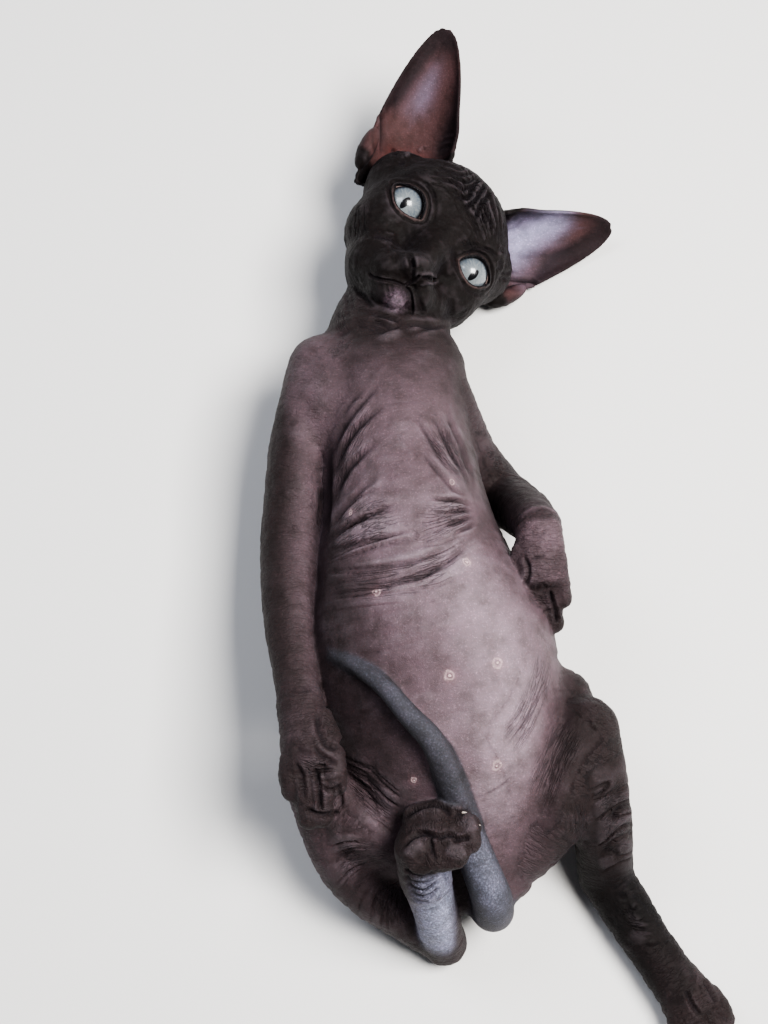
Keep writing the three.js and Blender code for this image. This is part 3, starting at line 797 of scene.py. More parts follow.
# number of creases, depth in millimetres, two guide lines of x and y by turns in the picture's pixels
families = [
    (6, 2.2, [331, 500, 335, 455, 350, 412, 378, 375], [332, 532, 347, 500, 364, 462, 383, 418],
        dict(fade=(0.05, 0.35))),
    (5, 2.2, [328, 528, 345, 508, 362, 492, 384, 474], [325, 566, 355, 556, 392, 545, 430, 536],
        dict(fade=(0.05, 0.4))),
    (4, 1.5, [325, 568, 372, 562, 432, 546, 474, 522], [330, 612, 385, 606, 440, 592, 486, 560],
        dict(fade=(0.08, 0.2))),
    (8, 1.8, [474, 499, 452, 479, 428, 458, 402, 436], [477, 492, 465, 460, 456, 430, 450, 390],
        dict(fade=(0.05, 0.35))),
    (5, 2.1, [473, 499, 455, 494, 435, 495, 415, 499], [480, 528, 463, 537, 436, 548, 400, 556],
        dict(fade=(0.05, 0.4))),
    (3, 1.7, [331, 312, 332, 325, 338, 340], [353, 300, 350, 318, 354, 334]),
    (3, 1.2, [318, 352, 330, 345, 343, 334], [330, 360, 345, 352, 358, 338]),
    (3, 1.8, [352, 308, 372, 322, 396, 330], [350, 326, 368, 334, 392, 337]),
    (3, 1.5, [316, 470, 315, 510, 319, 548], [327, 470, 326, 510, 327, 550], dict(fade=(0.4, 0.1))),
    (5, 2.2, [534, 630, 531, 660, 514, 700, 488, 735], [559, 662, 551, 700, 534, 740, 508, 780],
        dict(fade=(0.06, 0.35))),
    (7, 1.5, [558, 700, 542, 735, 528, 765, 512, 797], [602, 735, 580, 760, 566, 790, 548, 832],
        dict(fade=(0.25, 0.3))),
    (9, 1.8, [590, 778, 610, 768, 630, 756], [600, 876, 617, 872, 637, 866], dict(fade=(0.1, 0.05))),
    (3, 2.1, [568, 796, 570, 815, 567, 836], [588, 800, 590, 825, 583, 852]),
    (6, 2.0, [343, 750, 368, 762, 402, 790], [345, 800, 368, 822, 396, 846], dict(fade=(0.1, 0.1))),
    (5, 1.8, [394, 846, 370, 838, 345, 832, 322, 840], [398, 862, 372, 868, 352, 882, 338, 905],
        dict(fade=(0.05, 0.3))),
    (8, 2.0, [400, 868, 378, 878, 362, 892, 352, 915], [418, 890, 412, 912, 416, 930, 430, 950],
        dict(fade=(0.05, 0.15))),
    (6, 2.0, [404, 874, 420, 882, 441, 872], [412, 890, 428, 904, 446, 884], dict(fade=(0.1, 0.1),
        wobble=0.1)),
    (7, 1.4, [476, 438, 484, 440, 498, 447], [498, 488, 520, 490, 546, 492], dict(fade=(0.1, 0.2))),
    (4, 0.9, [606, 884, 620, 900, 640, 903], [618, 925, 636, 940, 668, 938]),
    (3, 1.4, [292, 748, 310, 752, 330, 752], [296, 775, 320, 780, 345, 776]),
    (3, 0.9, [520, 585, 540, 590, 560, 585], [528, 604, 545, 610, 563, 604]),
]
faceFamilies = [
    (8, 1.3, [447, 158, 468, 164, 485, 176, 498, 195, 504, 220, 503, 243], [420, 183, 441, 190, 455, 203,
        466, 221, 475, 236, 482, 250], dict(runs=3.0, least=0.4)),
    (5, 0.4, [478, 236, 484, 250, 494, 262], [452, 232, 462, 246, 476, 256], dict(least=0.4)),
    (4, 0.4, [352, 205, 349, 225, 349, 248], [372, 200, 370, 222, 370, 245], dict(least=0.6)),
    (4, 0.45, [392, 172, 412, 168, 436, 166], [404, 180, 420, 176, 440, 177], dict(fade=(0.3, 0.3),
        wobble=0.2)),
    (3, 0.6, [440, 313, 455, 310, 472, 306], [446, 324, 460, 321, 478, 314]),
    (2, 0.5, [414, 181, 425, 186, 431, 196, 430, 211], [418, 178, 430, 184, 437, 196, 436, 212]),
]
# depth (a ridge where it is below nought) and width in millimetres, line in the picture's pixels
faceLines = [
    # forehead
    (0.5, 0.5, [449, 161, 457, 165, 464, 164]),
    (0.8, 0.5, [441, 164.5, 450, 166.5, 457, 169.5, 461, 170, 466, 168.5, 471, 169]),
    (0.9, 0.5, [435, 170, 447, 170.5, 455, 173.5, 462, 175.5, 468, 174, 474, 172.5]),
    (1.0, 0.5, [430, 173.5, 448, 175.5, 455, 178.5, 461, 181.5, 467, 182, 473, 179.5, 477, 176]),
    (1.4, 0.55, [440, 180, 453, 182, 458, 186, 463, 189.5, 467, 188, 472, 187, 477, 181.5, 479, 176]),
    (1.2, 0.6, [457, 196, 465, 198.5, 469, 196, 470.5, 191, 474, 187]),
    (1.5, 0.6, [465, 208, 471, 204, 475.5, 200, 479, 193.5, 482.5, 189, 486, 182]),
    (1.6, 0.7, [475, 219, 478, 211, 481, 203, 484, 200.5, 487, 196, 489, 189]),
    (1.3, 0.6, [482, 201, 484, 206, 487, 213, 490, 220, 492, 230]),
    (1.4, 0.8, [482, 213, 484, 219, 486.5, 223]),
    (0.9, 0.5, [489, 193, 492, 205, 494, 215, 496, 225, 495, 238]),
    (0.8, 0.5, [492.5, 191, 496, 203, 499, 215, 499.5, 228, 498, 244]),
    (0.7, 0.5, [497, 196, 500.5, 207, 503, 218, 502.5, 230, 500.5, 243]),
    (0.6, 0.5, [501, 203, 505.5, 214, 506, 226, 504, 238]),
    (-0.5, 1.1, [482, 179, 478, 190, 473, 200, 469, 206]),
    (-0.5, 1.1, [488.5, 186, 484, 195, 479, 205, 475, 214]),
    # above and beside the eyes
    (0.55, 0.5, [466, 256, 473, 250, 481, 248.5, 491, 251, 497, 258]),
    (0.45, 0.5, [386, 181, 389, 192, 392, 204, 399, 215]),
    (0.5, 0.6, [462, 280, 466, 289, 474, 294, 484, 294]),
    (0.9, 0.8, [373, 235, 384, 237, 394, 239.5]),
    (0.5, 1.0, [452, 246, 455, 262, 459, 272]),
    # nose
    (-0.3, 3.0, [425, 250, 426, 260, 427, 270]),
    (-0.35, 1.2, [416, 272, 424, 274.5, 432, 274]),
    (0.7, 0.8, [409, 252, 410.5, 260, 412, 270, 411.5, 281]),
    (1.6, 0.75, [411, 258, 412.5, 263, 413, 268]),
    (2.0, 0.65, [421, 278.5, 427, 277.5, 432, 279.5, 436, 280.5]),
    (-0.5, 0.5, [419, 285.5, 427, 283.5, 436, 282.8, 439, 279]),
    (0.9, 0.45, [420, 274.5, 414, 280, 404, 286]),
    (0.4, 1.1, [440, 255, 441.5, 268, 440, 277]),
    # mouth and chin
    (0.8, 0.45, [404, 286, 398, 283, 390, 281, 380, 279, 373, 276.5, 369, 273]),
    (0.8, 0.45, [404, 286, 409, 291, 411.5, 298, 412.5, 308, 412, 315]),
    (0.3, 0.4, [386, 283, 387, 290, 389, 296]),
    (0.3, 0.4, [391, 284, 392, 290, 393, 295]),
    (0.6, 1.3, [449, 298, 450, 309, 443, 318]),
    (-1.0, 4.0, [390, 299, 397, 304, 402, 308]),
    (0.4, 0.9, [418, 292, 420, 304, 424, 315]),
]
earLines = [
    # right ear: the pocket's folds, the tragus, the canal
    (0.6, 0.7, [380, 107, 382, 122, 382, 140, 381, 156]),
    (-0.35, 0.6, [377, 110, 379, 125, 379, 145]),
    (0.35, 0.6, [371, 112, 372, 128, 374, 146, 378, 156]),
    (0.3, 0.7, [395, 98, 396, 108, 394, 120]),
    (0.3, 0.6, [384, 132, 386, 145, 384, 156]),
    (-1.0, 1.0, [405, 156, 407.5, 154.5, 410, 154]),
    (-0.6, 0.7, [418, 152, 422, 148.5, 426, 147]),
    (0.9, 0.9, [398, 161, 401, 162.5, 405, 162]),
    (0.7, 0.8, [391, 150, 394, 152, 396, 156]),
    (0.6, 0.7, [423, 147, 425, 150]),
    (0.5, 0.6, [436, 152, 444, 147, 452, 146]),
    (0.4, 0.6, [438, 145, 446, 140, 455, 139]),
    (0.3, 0.6, [440, 138, 448, 133, 455, 132]),
    # left ear
    (0.35, 1.6, [514, 257, 545, 256, 576, 249]),
    (0.8, 0.7, [497, 278, 515, 279.5, 531, 281, 538, 286]),
    (0.6, 0.7, [499, 272, 508, 273, 514, 270]),
    (0.9, 0.9, [500, 260, 501, 266, 499, 271]),
    (0.7, 0.6, [499.5, 247, 503, 251, 506, 252]),
    (-0.4, 0.6, [500, 244, 500, 250, 499, 256]),
    (0.35, 0.7, [505, 284, 514, 289, 522, 290]),
    (-0.4, 0.8, [524, 284, 533, 286, 534, 292]),
    (0.3, 0.6, [506, 232, 514, 228, 522, 220]),
    (0.3, 0.6, [504, 226, 511, 222, 517, 215]),
]
bodyLines = [
    # the folds that run into the left armpit
    (1.3, 0.9, [425, 410, 439, 427, 452, 454, 464, 473, 474.6, 500]),
    (1.0, 0.8, [439, 423, 452, 442, 468, 469, 475, 496]),
    (1.0, 0.8, [444.6, 404, 452, 427, 464, 454, 473.5, 481]),
    (0.9, 0.8, [412, 411.5, 425, 431, 441, 458, 456, 477]),
    (0.9, 0.8, [414, 442, 433, 465, 452, 488, 470, 502]),
    (1.2, 0.8, [441, 502, 456, 500, 471.5, 506]),
    (1.2, 0.8, [444.6, 515, 460, 511, 475, 510]),
    (1.3, 0.9, [441, 527, 460, 522, 474.6, 515]),
    (1.1, 0.8, [452, 534.6, 468, 527, 476, 521]),
    # across the ribs and the belly
    (1.1, 1.2, [329, 586.5, 375, 583, 414, 577, 444.6, 565, 460, 550, 473.5, 534.6]),
    (0.9, 1.1, [325, 569, 368, 569, 406, 563.5, 433, 554, 452, 542]),
    (1.2, 1.0, [323.5, 554, 348.5, 546, 379, 538.5, 414, 531]),
    (1.1, 1.0, [323.5, 546, 341, 531, 360, 521, 387, 515]),
    # into the right armpit
    (1.3, 1.0, [333, 515, 337, 492, 348.5, 469, 368, 450, 387, 434.6]),
    (1.4, 1.0, [331, 481, 339, 458, 352, 434.6, 371.5, 415, 391, 404]),
    (1.2, 1.0, [333, 469, 337, 442, 348.5, 419, 368, 396, 387, 377]),
    (0.8, 0.9, [339, 427, 350, 404, 371.5, 385]),
    (1.6, 1.1, [323.5, 550, 327, 527, 328.5, 500, 329, 465, 333, 434.6]),
    (0.9, 0.9, [318, 527, 321.5, 504, 321.5, 481]),
    (1.1, 0.9, [331, 531, 343, 511.5, 360, 492, 383, 473]),
    # throat
    (1.3, 0.7, [350, 280, 357, 290, 363, 296, 370, 304, 375, 309]),
    (0.7, 0.6, [356, 299, 364, 303, 374, 309]),
    (2.0, 0.8, [362, 311, 376, 314, 386, 317, 395, 320, 403, 324.5]),
    (1.4, 0.8, [364, 320, 376, 321, 384, 324, 392, 326.5, 403, 325.5]),
    (1.2, 0.8, [372, 334, 385, 330.5, 395, 327.5, 403, 325.5]),
    (2.4, 0.9, [402, 324.5, 412, 324, 422, 325, 432, 325.5, 450, 325]),
    (1.0, 0.7, [408, 334, 420, 331, 432, 328.5, 444, 326]),
    (-1.0, 1.5, [374, 340, 390, 336, 404, 330]),
    (0.9, 0.7, [343, 276, 346, 290, 348, 305, 349, 322]),
    (0.7, 0.7, [350, 286, 352, 300, 352, 316]),
    (0.7, 0.8, [333, 339, 344, 334, 354, 329]),
    (0.6, 0.5, [517, 774, 497, 789, 474, 801]),
]
pawLines = [
    # right hind paw and the arcs below it
    (1.3, 0.8, [400, 820, 415, 810, 425, 806, 434, 804.5, 445, 808, 449, 816]),
    (1.3, 0.8, [403, 848, 412, 838, 422, 833.5, 430, 834.5, 440, 836.5, 449, 834.5, 458, 839]),
    (0.9, 0.8, [430, 836, 431, 848, 436, 860]),
    (1.0, 0.7, [404, 868, 413, 876, 425, 877.5, 435, 872]),
    (1.0, 0.7, [404, 875, 413, 882, 425, 883.5, 438, 875]),
    (1.0, 0.7, [406, 882, 415, 888.5, 426, 889.5, 440, 880]),
    (0.9, 0.7, [409, 889, 418, 895.5, 428, 896, 441, 887]),
    (0.7, 0.7, [412, 897, 421, 902, 430, 902]),
    (1.5, 1.0, [448, 796, 458, 802, 466, 804]),
    (1.3, 0.8, [455, 813, 463, 812, 471, 807]),
    (1.3, 0.8, [452, 841, 461, 839, 470, 837]),
    (-1.2, 2.2, [440, 797, 452, 798, 462, 807]),
    (-1.0, 2.2, [462, 817, 470, 823, 472, 832]),
    (-1.0, 2.2, [446, 848, 457, 853, 465, 850]),
    (-0.8, 2.4, [408, 858, 414, 848, 424, 844]),
    # right forepaw: the groove between its toes, their joints, the dewclaw's fold
    (1.5, 0.8, [315, 767, 317.5, 778, 319.5, 790, 320, 801, 321, 811]),
    (0.9, 0.7, [338, 786, 341, 796, 341.5, 808]),
    (0.9, 0.9, [295, 763, 301, 773, 303, 786, 304, 800]),
    (0.8, 0.7, [321, 785, 328, 790, 335, 788.5, 342, 785]),
    (1.2, 0.8, [306, 809, 317, 814, 328, 814.5, 339, 811]),
    (0.9, 0.8, [312, 746, 320, 754.5, 328, 760, 338, 763]),
    (1.0, 0.9, [318, 714, 318, 726, 322, 738, 328, 746, 337, 750]),
    (0.5, 0.7, [296, 747, 304, 752, 312, 750]),
    # left forepaw
    (1.4, 0.7, [550, 590, 552, 600, 555, 609, 556.5, 616, 557, 624]),
    (0.9, 0.7, [523, 557, 528, 566, 528, 578, 523, 586]),
    (0.5, 0.6, [543, 612, 548, 610.5, 553, 610]),
    (0.5, 0.6, [535, 591, 541, 584, 547, 588]),
    (0.5, 0.7, [529, 560, 537, 557, 545, 556]),
    (0.4, 0.6, [536, 537, 541, 535, 546, 532]),
    # left foot
    (1.0, 0.7, [686, 990, 691, 1003, 700, 1016]),
    (0.7, 0.7, [703, 981, 710, 992, 717, 1003]),
]


eyeAt = np.array([0, 0, picture["aimHeight"]]) + towardsCamera * picture["distance"]


def facing(p):
    # the skin's normals with its vertices at p, and how far each is turned to the camera
    setVertices(skin.data, p)
    normal = normalsOf(skin.data)
    return normal, smooth(0.02, 0.35, (normal * unit(eyeAt - p)).sum(1))


normal, facingShare = facing(place)
seen = seenAt(place)
otherGap = np.delete(gaps, names.index("tail"), axis=1).min(1)
tailShare = smooth(1.0, -0.6, near["tail"][0] - otherGap) * smooth(9, 15, near["tail"][1])
tailShare = spread(tailShare, 4)
earShare = (local[:, 1] > 12) & (np.abs(local[:, 0]) > 18) & (headGap > 1.5) & (place[:, 1] > 85)
earShare = spread(earShare, 3)
bodySeen = (1 - tailShare) * facingShare
headSeen = headShare * facingShare
earSeen = np.maximum(earShare, headShare) * facingShare
height = np.zeros(len(place))
ruler = np.zeros(len(place))
for number, family in enumerate(families):
    height += addFamily(seen, number, family, bodySeen * (1 - headShare))
for depth, width, points in bodyLines:
    height += foldLine(seen, points, width, depth * 0.8, fade=0.4, shadeStrength=0.35) * bodySeen
for depth, width, points in pawLines:
    height += foldLine(seen, points, width, depth, shadeStrength=0.45) * bodySeen
for number, family in enumerate(faceFamilies):
    height += addFamily(seen, 40 + number, family, headSeen)
for lines, share in ((faceLines, headSeen), (earLines, earSeen)):
    for depth, width, points in lines:
        height += foldLine(seen, points, width, depth) * share
print("kitten: folds laid out")

# ---- lids: the opening is cut down below the eyeball, with rolls and creases round it
outline = almond(np.linspace(0, 2, 400, endpoint=False))
centre = np.array([0, eye["lift"]])
angles = np.arctan2(*(outline - centre).T[::-1])
order = angles.argsort()
reach = np.linalg.norm(outline - centre, axis=1)
lidRolls = (  # height, share all round, more on the upper lid, distance from the opening, width
    (0.18, 1, 0, 0.6, 0.45), (-1, 0.25, 0.3, 1.9, 0.4), (0.22, 1, 0, 2.9, 0.6), (-0.35, 0, 1, 4.4, 0.5),
)
for sign in (-1, 1):
    middle, axes = eyeFrame(sign)
    q = (local - middle) @ axes
    flat = q[:, :2] * [sign, 1]
    pick = np.flatnonzero((np.linalg.norm(flat, axis=1) < 17) & (q[:, 2] > -1) & (headShare > 0.5))
    flat = flat[pick]
    d2 = (flat**2).sum(1)[:, None] - 2 * flat @ outline.T + (outline**2).sum(1)[None]
    i = d2.argmin(1)
    ownAngle = np.arctan2(*(flat - centre).T[::-1])
    limit = np.interp(ownAngle, angles[order], reach[order], period=2 * math.pi)
    away = np.sqrt(np.maximum(d2[np.arange(len(pick)), i], 0))
    d = np.where(np.linalg.norm(flat - centre, axis=1) < limit, -away, away)
    upperSide = smooth(-3, 3, flat[:, 1])
    rolls = sum(
        depth * (level + rise * upperSide) * np.exp(-(((d - at) / wide) ** 2))
        for depth, level, rise, at, wide in lidRolls
    )
    height[pick] += np.where(d > 0, rolls, 0)
    inner = np.sqrt(np.maximum((eye["radius"] - 1.0) ** 2 - (flat**2).sum(1), 1))
    w = smooth(-0.45, 0.15, d)
    q[pick, 2] = np.minimum(q[pick, 2], inner) * (1 - w) + q[pick, 2] * w
    local[pick] = q[pick] @ axes.T + middle
    edge = 0.35 + 0.35 * upperSide
    rim = np.exp(-(((d - edge - 0.3) / 0.28) ** 2)) * (1 - 0.75 * upperSide)
    marks["lid"][pick] = np.maximum(marks["lid"][pick], smooth(edge + 0.2, edge - 0.1, d))
    marks["rim"][pick] = np.maximum(marks["rim"][pick], rim)
    height[pick] *= d >= 0
place = np.where((headShare > 0.3)[:, None], fromHead(local), place)
print("kitten: lids cut")

# ---- small unevenness everywhere, wrinkles round the limbs and back out of the camera's sight
lumps = 0.28 * softNoise(place, 9, 1) + 0.14 * softNoise(place, 4, 2)
pebbles = 0.1 * softNoise(place, 1.9, 3) + 0.05 * softNoise(place, 1.1, 4)
quiet = (1 - tailShare) * (1 - earShare)
wrinkles = {  # spacing and depth in millimetres, and how strongly a part shows fine wrinkles of its own
    "torso": (5.5, 0.45, 0.1), "neck": (4.0, 0.4, 0.4), "tail": (3.0, 0.05, 0.0),
    "upperArmRight": (4.5, 0.12, 0.2), "forearmRight": (4.0, 0.18, 0.25), "others": (3.2, 0.38, 0.4),
}
rings = np.zeros(len(place))
ruled = ruler > 0.02
marks["fold"] = np.where(ruled, marks["fold"], smooth(0.75, 1.0, spread(~ruled, 6)))
for number, name in enumerate(names):
    mine = owner == number
    if not mine.any():
        continue
    spacing, depth, fineness = wrinkles.get(name, wrinkles["others"])
    _, run, angle = (v[mine] for v in near[name])
    winding = np.stack([run / spacing, 0.8 * np.cos(angle), 0.8 * np.sin(angle)], 1)
    n = softNoise(winding, 1.0, 6) + 0.35 * softNoise(winding * 2.1, 1.0, 7)
    rings[mine] = -depth * np.exp(-((n / 0.16) ** 2)) + depth * 0.3
    plain = mine & ~ruled
    for axis, label in enumerate(("foldAcross", "foldAlong", "foldRound")):
        marks[label][plain] = winding[plain[mine], axis] * 2.2
    marks["fold"][plain] *= smooth(0.8, 0.98, spread(mine, 3))[plain] * fineness * (1 - headShare[plain])
marks["fold"] *= quiet * (0.25 + 0.75 * facingShare)
height += lumps * quiet * 0.8 + pebbles * quiet * (1 + 1.2 * headShare)
height += spread(rings, 1) * (1 - 0.55 * facingShare) * quiet * (1 - fineShare)
height[marks["lid"] > 0.2] *= 0.2
marks["height"] = height
place = place + normal * height[:, None]
place[:, 2] = np.maximum(place[:, 2], 0.05)
setVertices(skin.data, place)
print("kitten: skin folded")

# ---- colour guides
normal, facingShare = facing(place)
seen = seenAt(place)
local = toHead(place)
tones = {  # how light each part's skin is at its start and its end: 0 dark, 0.5 middling, 1 the belly's
    "neck": (-0.5, -0.4), "thighLeft": (0.0, -0.2), "shinLeft": (0.0, -0.5), "footLeft": (-0.8, -0.3),
    "thighRight": (0.3, 0.25), "shinRight": (0.2, 0.0), "footRight": (0.0, 0.2), "upperArmRight": (0.72, 0.5),
    "forearmRight": (0.48, 0.18), "upperArmLeft": (0.15, 0.05), "forearmLeft": (-0.25, 0.1),
    "pawLeftPalm": (0.5, 0.5),
    "pawRightPalm": (0.1, 0.1),
}
# these lie on other parts, so their tone doesn't fade into them
loose = ("footRight", "forearmRight", "tail", *pawParts)


def toneOf(name):
    start, end = tones.get(name, (0.0, 0.0))
    _, run, angle = near[name]
    angle = np.degrees(angle)
    share = np.clip(run / parts[name]["run"][-1], 0, 1)
    tone = start + (end - start) * share
    if name in ("upperArmRight", "forearmRight"):  # paler on the side turned to the chest
        # painted light: the side of the arm turned to the chest and the lamp is paler, the side turned away
        # darker as painted shade
        shoulder = (name == "upperArmRight") * smooth(0.6, 0.0, share)
        tone = tone * smooth(90 + 50 * shoulder, 15 + 30 * shoulder, np.abs(angle - 25 - 30 * shoulder))
    if name == "torso":  # palest down the middle of the belly
        around = angle - (88 - 25 * smooth(60, 130, run))
        # the pale middle band is partly the belly's own paler skin, partly a painted highlight
        middle = np.exp(-((around / 24) ** 2)) * smooth(75, 115, run) * smooth(200, 160, run)
        tone = 0.18 + 0.37 * smooth(10, 45, run) + 0.42 * middle
        # painted shade on the flanks that turn away from the light
        tone = tone * (0.2 + 0.8 * smooth(68, 28, np.abs(around)))
    return tone


def blended(wanted, reach):
    # the tones of these parts, each weighing less the further its surface is
    weights = np.stack([np.exp(-near[name][0] / reach) for name in wanted])
    return (weights * np.stack([toneOf(name) for name in wanted])).sum(0) / (weights.sum(0) + 1e-9)


looseShare = spread(anyOf(*loose), 2)
marks["tone"] = blended([n for n in names if n not in loose], 5.0) * (1 - looseShare)
marks["tone"] += blended(loose, 2.0) * looseShare
studs = {  # teats and navel on the picture, with the width of each pale ring
    (452, 481): 1.0, (467, 562): 1.6, (376, 593): 1.6, (498, 664): 2.0, (497, 766): 1.8,
    (413, 780): 1.1, (350, 512): 0.9, (450, 676): 1.9,
}
studsAt = []
facingTorso = spread(anyOf("torso"), 3) * (1 - headShare) * facingShare
for (x, y), ring in studs.items():
    far = np.linalg.norm((seen - [x, y]) * [1.0, 0.9], axis=1) * picture["pixel"]
    studsAt.append((place[np.where(facingTorso > 0.5, far, 99).argmin()] + shift) / 1000)
    marks["pink"] += facingTorso * np.exp(-((far / (ring * 1.1)) ** 2)) * 0.8
chin = np.linalg.norm(seen - [396, 301], axis=1) / 14
marks["chin"] = headShare * facingShare * smooth(1.3, 0.3, chin) * smooth(413, 410, seen[:, 0])
marks["head"] = headShare
marks["tail"] = tailShare
# painted sheen: a grainy blue-grey light on the side of the right hind foot turned to the light, and on the
# upper side of the tail, most near its base
ankle = spread(anyOf("footRight"), 6) * smooth(5, 18, near["footRight"][1])
ankle = np.maximum(ankle, 0.6 * spread(anyOf("footRightPalm"), 6) * smooth(14, 6, near["footRightPalm"][1]))
ankle *= 1.15 * smooth(402, 430, seen[:, 0]) * smooth(460, 446, seen[:, 0])  # on the side turned to the light
tailTopSheen = 0.2 + 0.8 * smooth(0.25, 0.95, normal[:, 2])
marks["paintedSheen"] = np.maximum(ankle, tailShare * tailTopSheen * (0.1 + 0.5 * smooth(80, 30, near["tail"][1])))
facingHead = normal @ headTurn
# a painted sheen band, mauve and blue, on the inside of each ear
innerEarSheen = {  # of each ear's inside: middle and width across, start and end up it, strength
    "right": (0.42, 0.3, 0.3, 0.85, 0.18),
    "left": (-0.12, 0.55, 0.02, 0.75, 1.0),
}
for side, (middle, wide, low, high, strength) in innerEarSheen.items():
    base, tip = (np.array(v, float) for v in ear[side])
    t = (local - base) @ (tip - base) / ((tip - base) @ (tip - base))
    _, _, sideways, back, narrowing, _ = earFrame(side, np.clip(t, 0, 0.995))
    lateral = ((local - base) * sideways).sum(1) / (ear["halfWidth"] * np.maximum(narrowing, 0.15))
    mine = earShare * (local[:, 0] * (1 if side == "left" else -1) > 0)
    inner = mine * smooth(-0.1, 0.35, -(facingHead * back).sum(1))
    edge = smooth(0.72, 1.0, np.abs(lateral)) + smooth(-0.35, -0.85, lateral) + smooth(0.72, 0.98, t) * 1.4
    band = np.exp(-(((lateral - middle) / wide) ** 2)) * smooth(low, low + 0.2, t)
    band = band * smooth(high, high - 0.25, t)
    shares = {
        "ear": 1, "earDark": np.clip(edge, 0, 1), "earMauve": band * strength,
        "canal": smooth(0.2, 0.05, t) * smooth(0.75, 0.3, np.abs(lateral)),
    }
    for name, share in shares.items():
        marks[name] = np.maximum(marks[name], inner * share)

for name, values in marks.items():
    addMark(skin.data, name, values)
decimate = skin.modifiers.new("lighter", "DECIMATE")
decimate.ratio = min(1.0, skinSettings["triangles"] / (2 * len(skin.data.polygons)))
evaluated(skin)
shadeSmooth(skin.data)
print("kitten: skin lightened to", len(skin.data.polygons), "faces")

# ---- eyes
def makeEye(name, sign, rows=60, around=72):
    # a ball whose front bulges into the clear dome over the iris
    p, row = ballGrid(rows, around)
    r = eye["radius"] + eye["dome"] * smooth(eye["domeAngle"], 0, np.degrees(row))
    p = (p * r[:, :, None]).reshape(-1, 3)
    p = np.vstack([p[:1], p[around:-around], p[-1:]])
    last = len(p) - 1
    j = np.arange(around)
    k = (j + 1) % around
    faces = (gridFaces(rows - 2, around) + 1).tolist()
    faces += np.stack([np.zeros(around, int), k + 1, j + 1], 1).tolist()
    faces += np.stack([np.full(around, last), last - around + j, last - around + k], 1).tolist()
    at, axes = eyeFrame(sign)
    piece = meshObject(name, fromHead(p @ axes.T + at), faces)
    shadeSmooth(piece.data)
    for label, values in zip(("irisX", "irisY", "irisZ"), (p - [*eye["gaze"], 0]).T):
        addMark(piece.data, label, values)
    return piece


eyes = {"eye_right": makeEye("eyeRight", -1), "eye_left": makeEye("eyeLeft", 1)}

# ---- claws
clawShape = {"length": 2.3, "root": 0.9, "curl": 55, "lift": 0.3}


def makeClaws(rows=26, around=20):
    # each claw: a circle that shrinks along an arc bent down from the toe's end, closed at both ends
    t = np.linspace(0, 1, rows)
    curl = np.radians(clawShape["curl"])
    c, s = np.cos(curl * t)[:, None], np.sin(curl * t)[:, None]
    angle = np.linspace(0, 2 * math.pi, around, endpoint=False)
    j = np.arange(around)
    k = (j + 1) % around
    last = (rows - 1) * around
    first, tip = np.full(around, rows * around), np.full(around, rows * around + 1)
    caps = [np.stack([k, j, first, first], 1), np.stack([j + last, k + last, tip, tip], 1)]
    quads = [gridFaces(rows, around), *caps]
    quads = triangulated(np.vstack(quads))
    points, faces = [], []
    for name, ends in toeEnds.items():
        for start, end, toe in ends:
            scale = toe / 4.3
            forward = unit(end - start)
            up = unit(pawUps[name] - forward * (pawUps[name] @ forward))
            side = np.cross(forward, up)
            path = clawShape["length"] * scale / curl * (s * forward - (1 - c) * up)
            over = np.cross(side, c * forward - s * up)
            root = end + forward * toe * 0.35 + up * toe * clawShape["lift"]
            radius = clawShape["root"] * scale * (1 - t) ** 0.75 * smooth(-0.02, 0.0, t) + 0.02
            ring = 0.55 * np.cos(angle)[None, :, None] * side + np.sin(angle)[None, :, None] * over[:, None]
            p = (root + path)[:, None] + ring * radius[:, None, None]
            faces.append(quads + sum(len(v) for v in points))
            points.append(np.vstack([p.reshape(-1, 3), root, (root + path)[-1]]))
    return meshObject("claws", np.vstack(points), np.vstack(faces).tolist())


claws = makeClaws()
shadeSmooth(claws.data)

# ---- materials
def newMaterial(name, values):
    # a material whose shader has these fixed values, its shader, and the short ways to its nodes
    material = bpy.data.materials.new(name)
    material.use_nodes = True
    shader = material.node_tree.nodes["Principled BSDF"]
    for label, value in values.items():
        shader.inputs[label].default_value = value
    return material, shader.inputs, Wires(material.node_tree)


